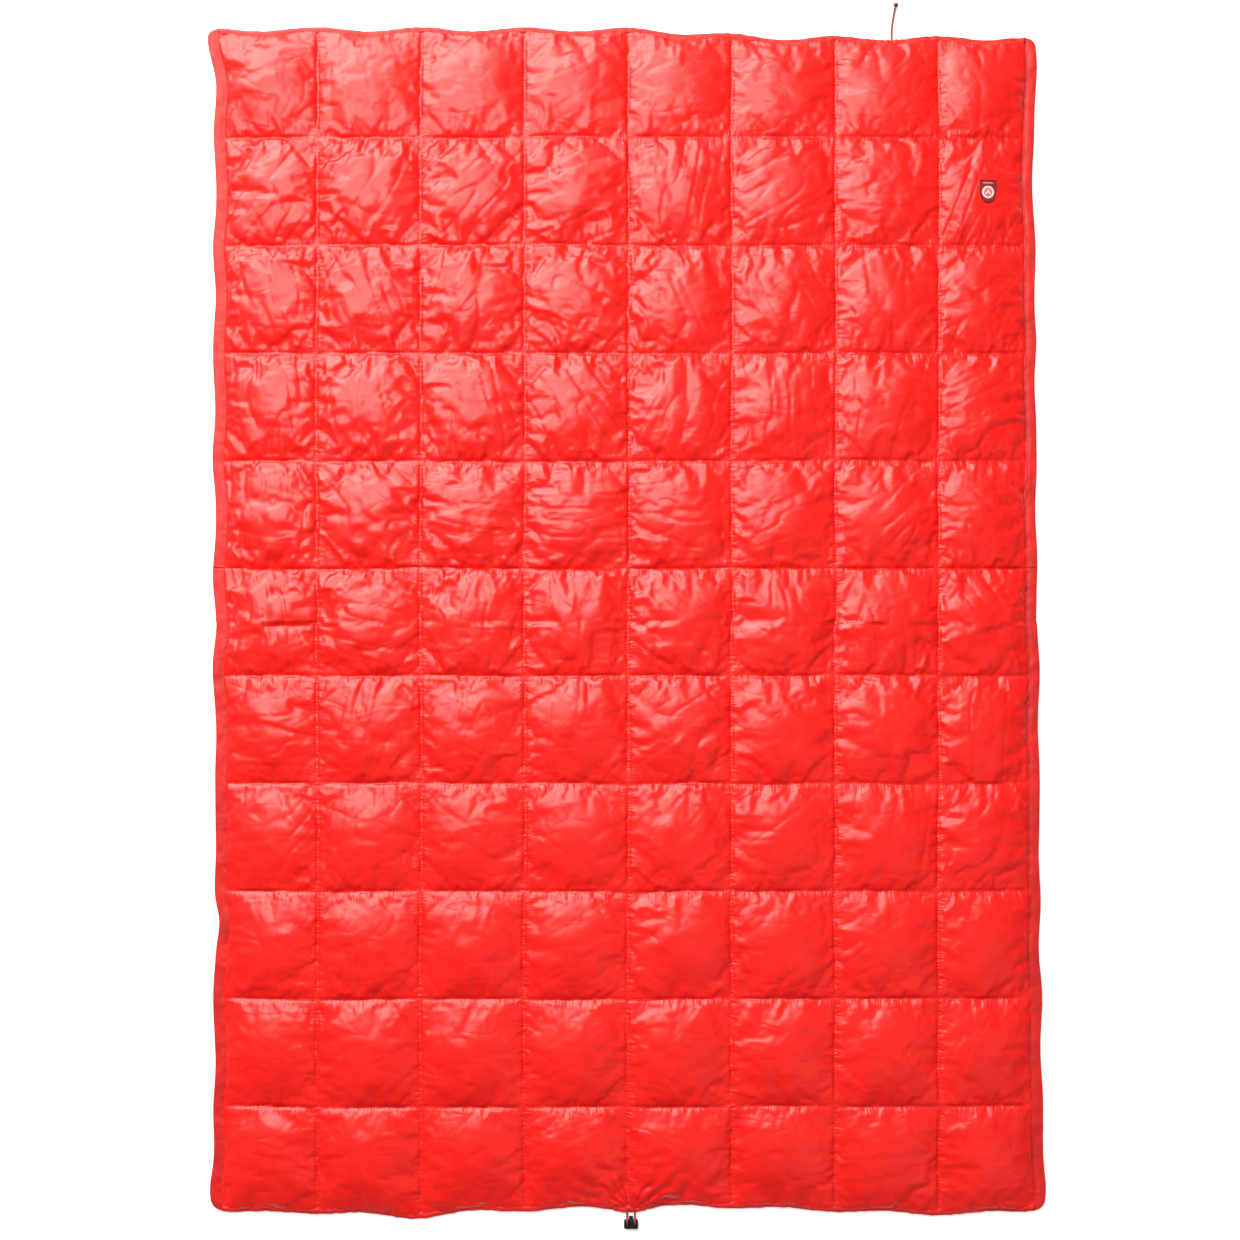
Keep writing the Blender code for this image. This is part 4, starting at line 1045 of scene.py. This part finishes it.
def make_label(height_at):
    """The shield-shaped woven label, with an overlocked edge, a plain bar and a plain tent in a ring."""
    centre, size = label_place()
    half_x, half_y = size.x / 2, size.y / 2

    def on_label(points, lift):
        """Sets points given about the label's middle onto the cloth."""
        x, y = centre.x + points[:, 0], centre.y + points[:, 1]
        return np.stack([x, y, height_at(*pattern_of(x, y)) + lift + points[:, 2]], 1)

    def patch(name, outline_grid, lift, thick, material, node):
        mesh = cloth_sheet(name, outline_grid, outline_grid[..., :2])
        flat = np.empty(len(mesh.vertices) * 3)
        mesh.vertices.foreach_get("co", flat)
        mesh.vertices.foreach_set("co", on_label(flat.reshape(-1, 3), lift).astype(np.float32).ravel())
        bm = bmesh.new()
        bm.from_mesh(mesh)
        bpy.data.meshes.remove(mesh)
        bmesh.ops.remove_doubles(bm, verts=bm.verts, dist=0.02 * MM)
        grown = bmesh.ops.extrude_face_region(bm, geom=list(bm.faces))
        raised = [v for v in grown["geom"] if isinstance(v, bmesh.types.BMVert)]
        bmesh.ops.translate(bm, vec=(0, 0, thick), verts=raised)
        bmesh.ops.recalc_face_normals(bm, faces=bm.faces)
        piece = finish_piece(bm, name, material, smooth=False)
        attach(piece, "quilt_head")
        if node:
            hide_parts(node)
        return piece

    def shield_grid(scale):
        t = np.linspace(0, 1, 31) ** 0.8
        s = np.linspace(-1, 1, 21)
        x = s[None, :] * (shield_half_width(t) * half_x * scale)[:, None]
        y = np.broadcast_to((half_y * scale * (1 - 2 * t))[:, None], x.shape)
        return np.stack([x, y, np.zeros_like(x)], 2)[::-1]

    def disc_grid(radius, drop):
        s = np.linspace(-1, 1, 21)
        x, y = np.meshgrid(s, s)
        round_x, round_y = x * np.sqrt(1 - y**2 / 2), y * np.sqrt(1 - x**2 / 2)
        return np.stack([round_x * radius, round_y * radius - drop, np.zeros_like(x)], 2)

    def strip_grid(x0, x1, y0, y1, tip=None):
        s, t = np.meshgrid(np.linspace(0, 1, 7), np.linspace(0, 1, 5))
        narrow = 1 if tip is None else 1 - t * (1 - tip)
        middle = (x0 + x1) / 2
        x = middle + (x0 + (x1 - x0) * s - middle) * narrow
        return np.stack([x, y0 + (y1 - y0) * t, np.zeros_like(s)], 2)

    patch("label_shield", shield_grid(0.985), 0.2 * MM, 0.6 * MM, LABEL_CLOTH, "label_patch")
    emblem_drop, emblem_radius = 1.5 * MM, 10.3 * MM
    patch("label_emblem_disc", disc_grid(emblem_radius, emblem_drop), 0.8 * MM, 0.25 * MM, LABEL_WHITE, "label_emblem")
    patch("label_emblem_field", disc_grid(7.4 * MM, emblem_drop), 1.05 * MM, 0.12 * MM, LABEL_PINK, None)
    tent = strip_grid(-5 * MM, 5 * MM, -emblem_drop - 3.4 * MM, -emblem_drop + 4.0 * MM, tip=0.04)
    patch("label_emblem_tent", tent, 1.17 * MM, 0.15 * MM, LABEL_WHITE, None)
    door = strip_grid(-1.5 * MM, 1.5 * MM, -emblem_drop - 3.4 * MM, -emblem_drop + 1.0 * MM, tip=0.05)
    patch("label_emblem_door", door, 1.32 * MM, 0.1 * MM, LABEL_CLOTH, None)
    bar_y = half_y - 5 * MM
    bar = strip_grid(-8.5 * MM, 8.5 * MM, bar_y - 1.3 * MM, bar_y + 1.3 * MM)
    patch("label_plain_bar", bar, 0.8 * MM, 0.25 * MM, LABEL_PINK, "label_bar")

    t = np.linspace(0, 1, 40)
    side_x, side_y = shield_half_width(t) * half_x * 0.97, half_y * 0.97 * (1 - 2 * t)
    outline = np.concatenate([np.stack([side_x, side_y], 1), np.stack([-side_x[::-1][1:], side_y[::-1][1:]], 1)])
    outline = np.vstack([outline, outline[:1]])
    edge = on_label(np.column_stack([outline, np.zeros(len(outline))]), 0.75 * MM)
    line = smooth_line([tuple(p) for p in edge], 1.2 * MM)
    piece = cord_along("label_overlocked_edge", line, 1.7 * MM, LABEL_EDGE, sides=8)
    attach(piece, "quilt_head")
    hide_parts("label_border")


def make_floor():
    bm = bmesh.new()
    bmesh.ops.create_grid(bm, x_segments=1, y_segments=1, size=12)
    floor = finish_piece(bm, "studio_floor", matt_floor("white_studio_board"), smooth=False)


# ======================================================================== the scene
add_camera()
light_studio()
make_floor()
make_tail()
make_hidden_cords()
make_lock_strands()
dress_lock()
SHAPES = shape_face_and_lining()
make_cells(SHAPES)
FLAT_X, FLAT_Y, LEVEL = SHAPES[1][0, :, 0], SHAPES[1][:, 0, 1], SHAPES[4]


def cloth_height(x, y):
    """Height of the pressed face under the label."""
    i, j = np.interp(y, FLAT_Y, np.arange(len(FLAT_Y))), np.interp(x, FLAT_X, np.arange(len(FLAT_X)))
    low_i, low_j = np.floor(i).astype(int), np.floor(j).astype(int)
    s, t = i - low_i, j - low_j
    near = LEVEL[low_i, low_j] * (1 - t) + LEVEL[low_i, low_j + 1] * t
    far = LEVEL[low_i + 1, low_j] * (1 - t) + LEVEL[low_i + 1, low_j + 1] * t
    return near * (1 - s) + far * s


make_label(cloth_height)
for hem_side in ("left", "right"):
    for hem_end in ("head", "foot"):
        make_side_hem(hem_side, hem_end)
make_end_hem("head")
make_end_hem("foot")
make_quilting()
make_hem_stitching()
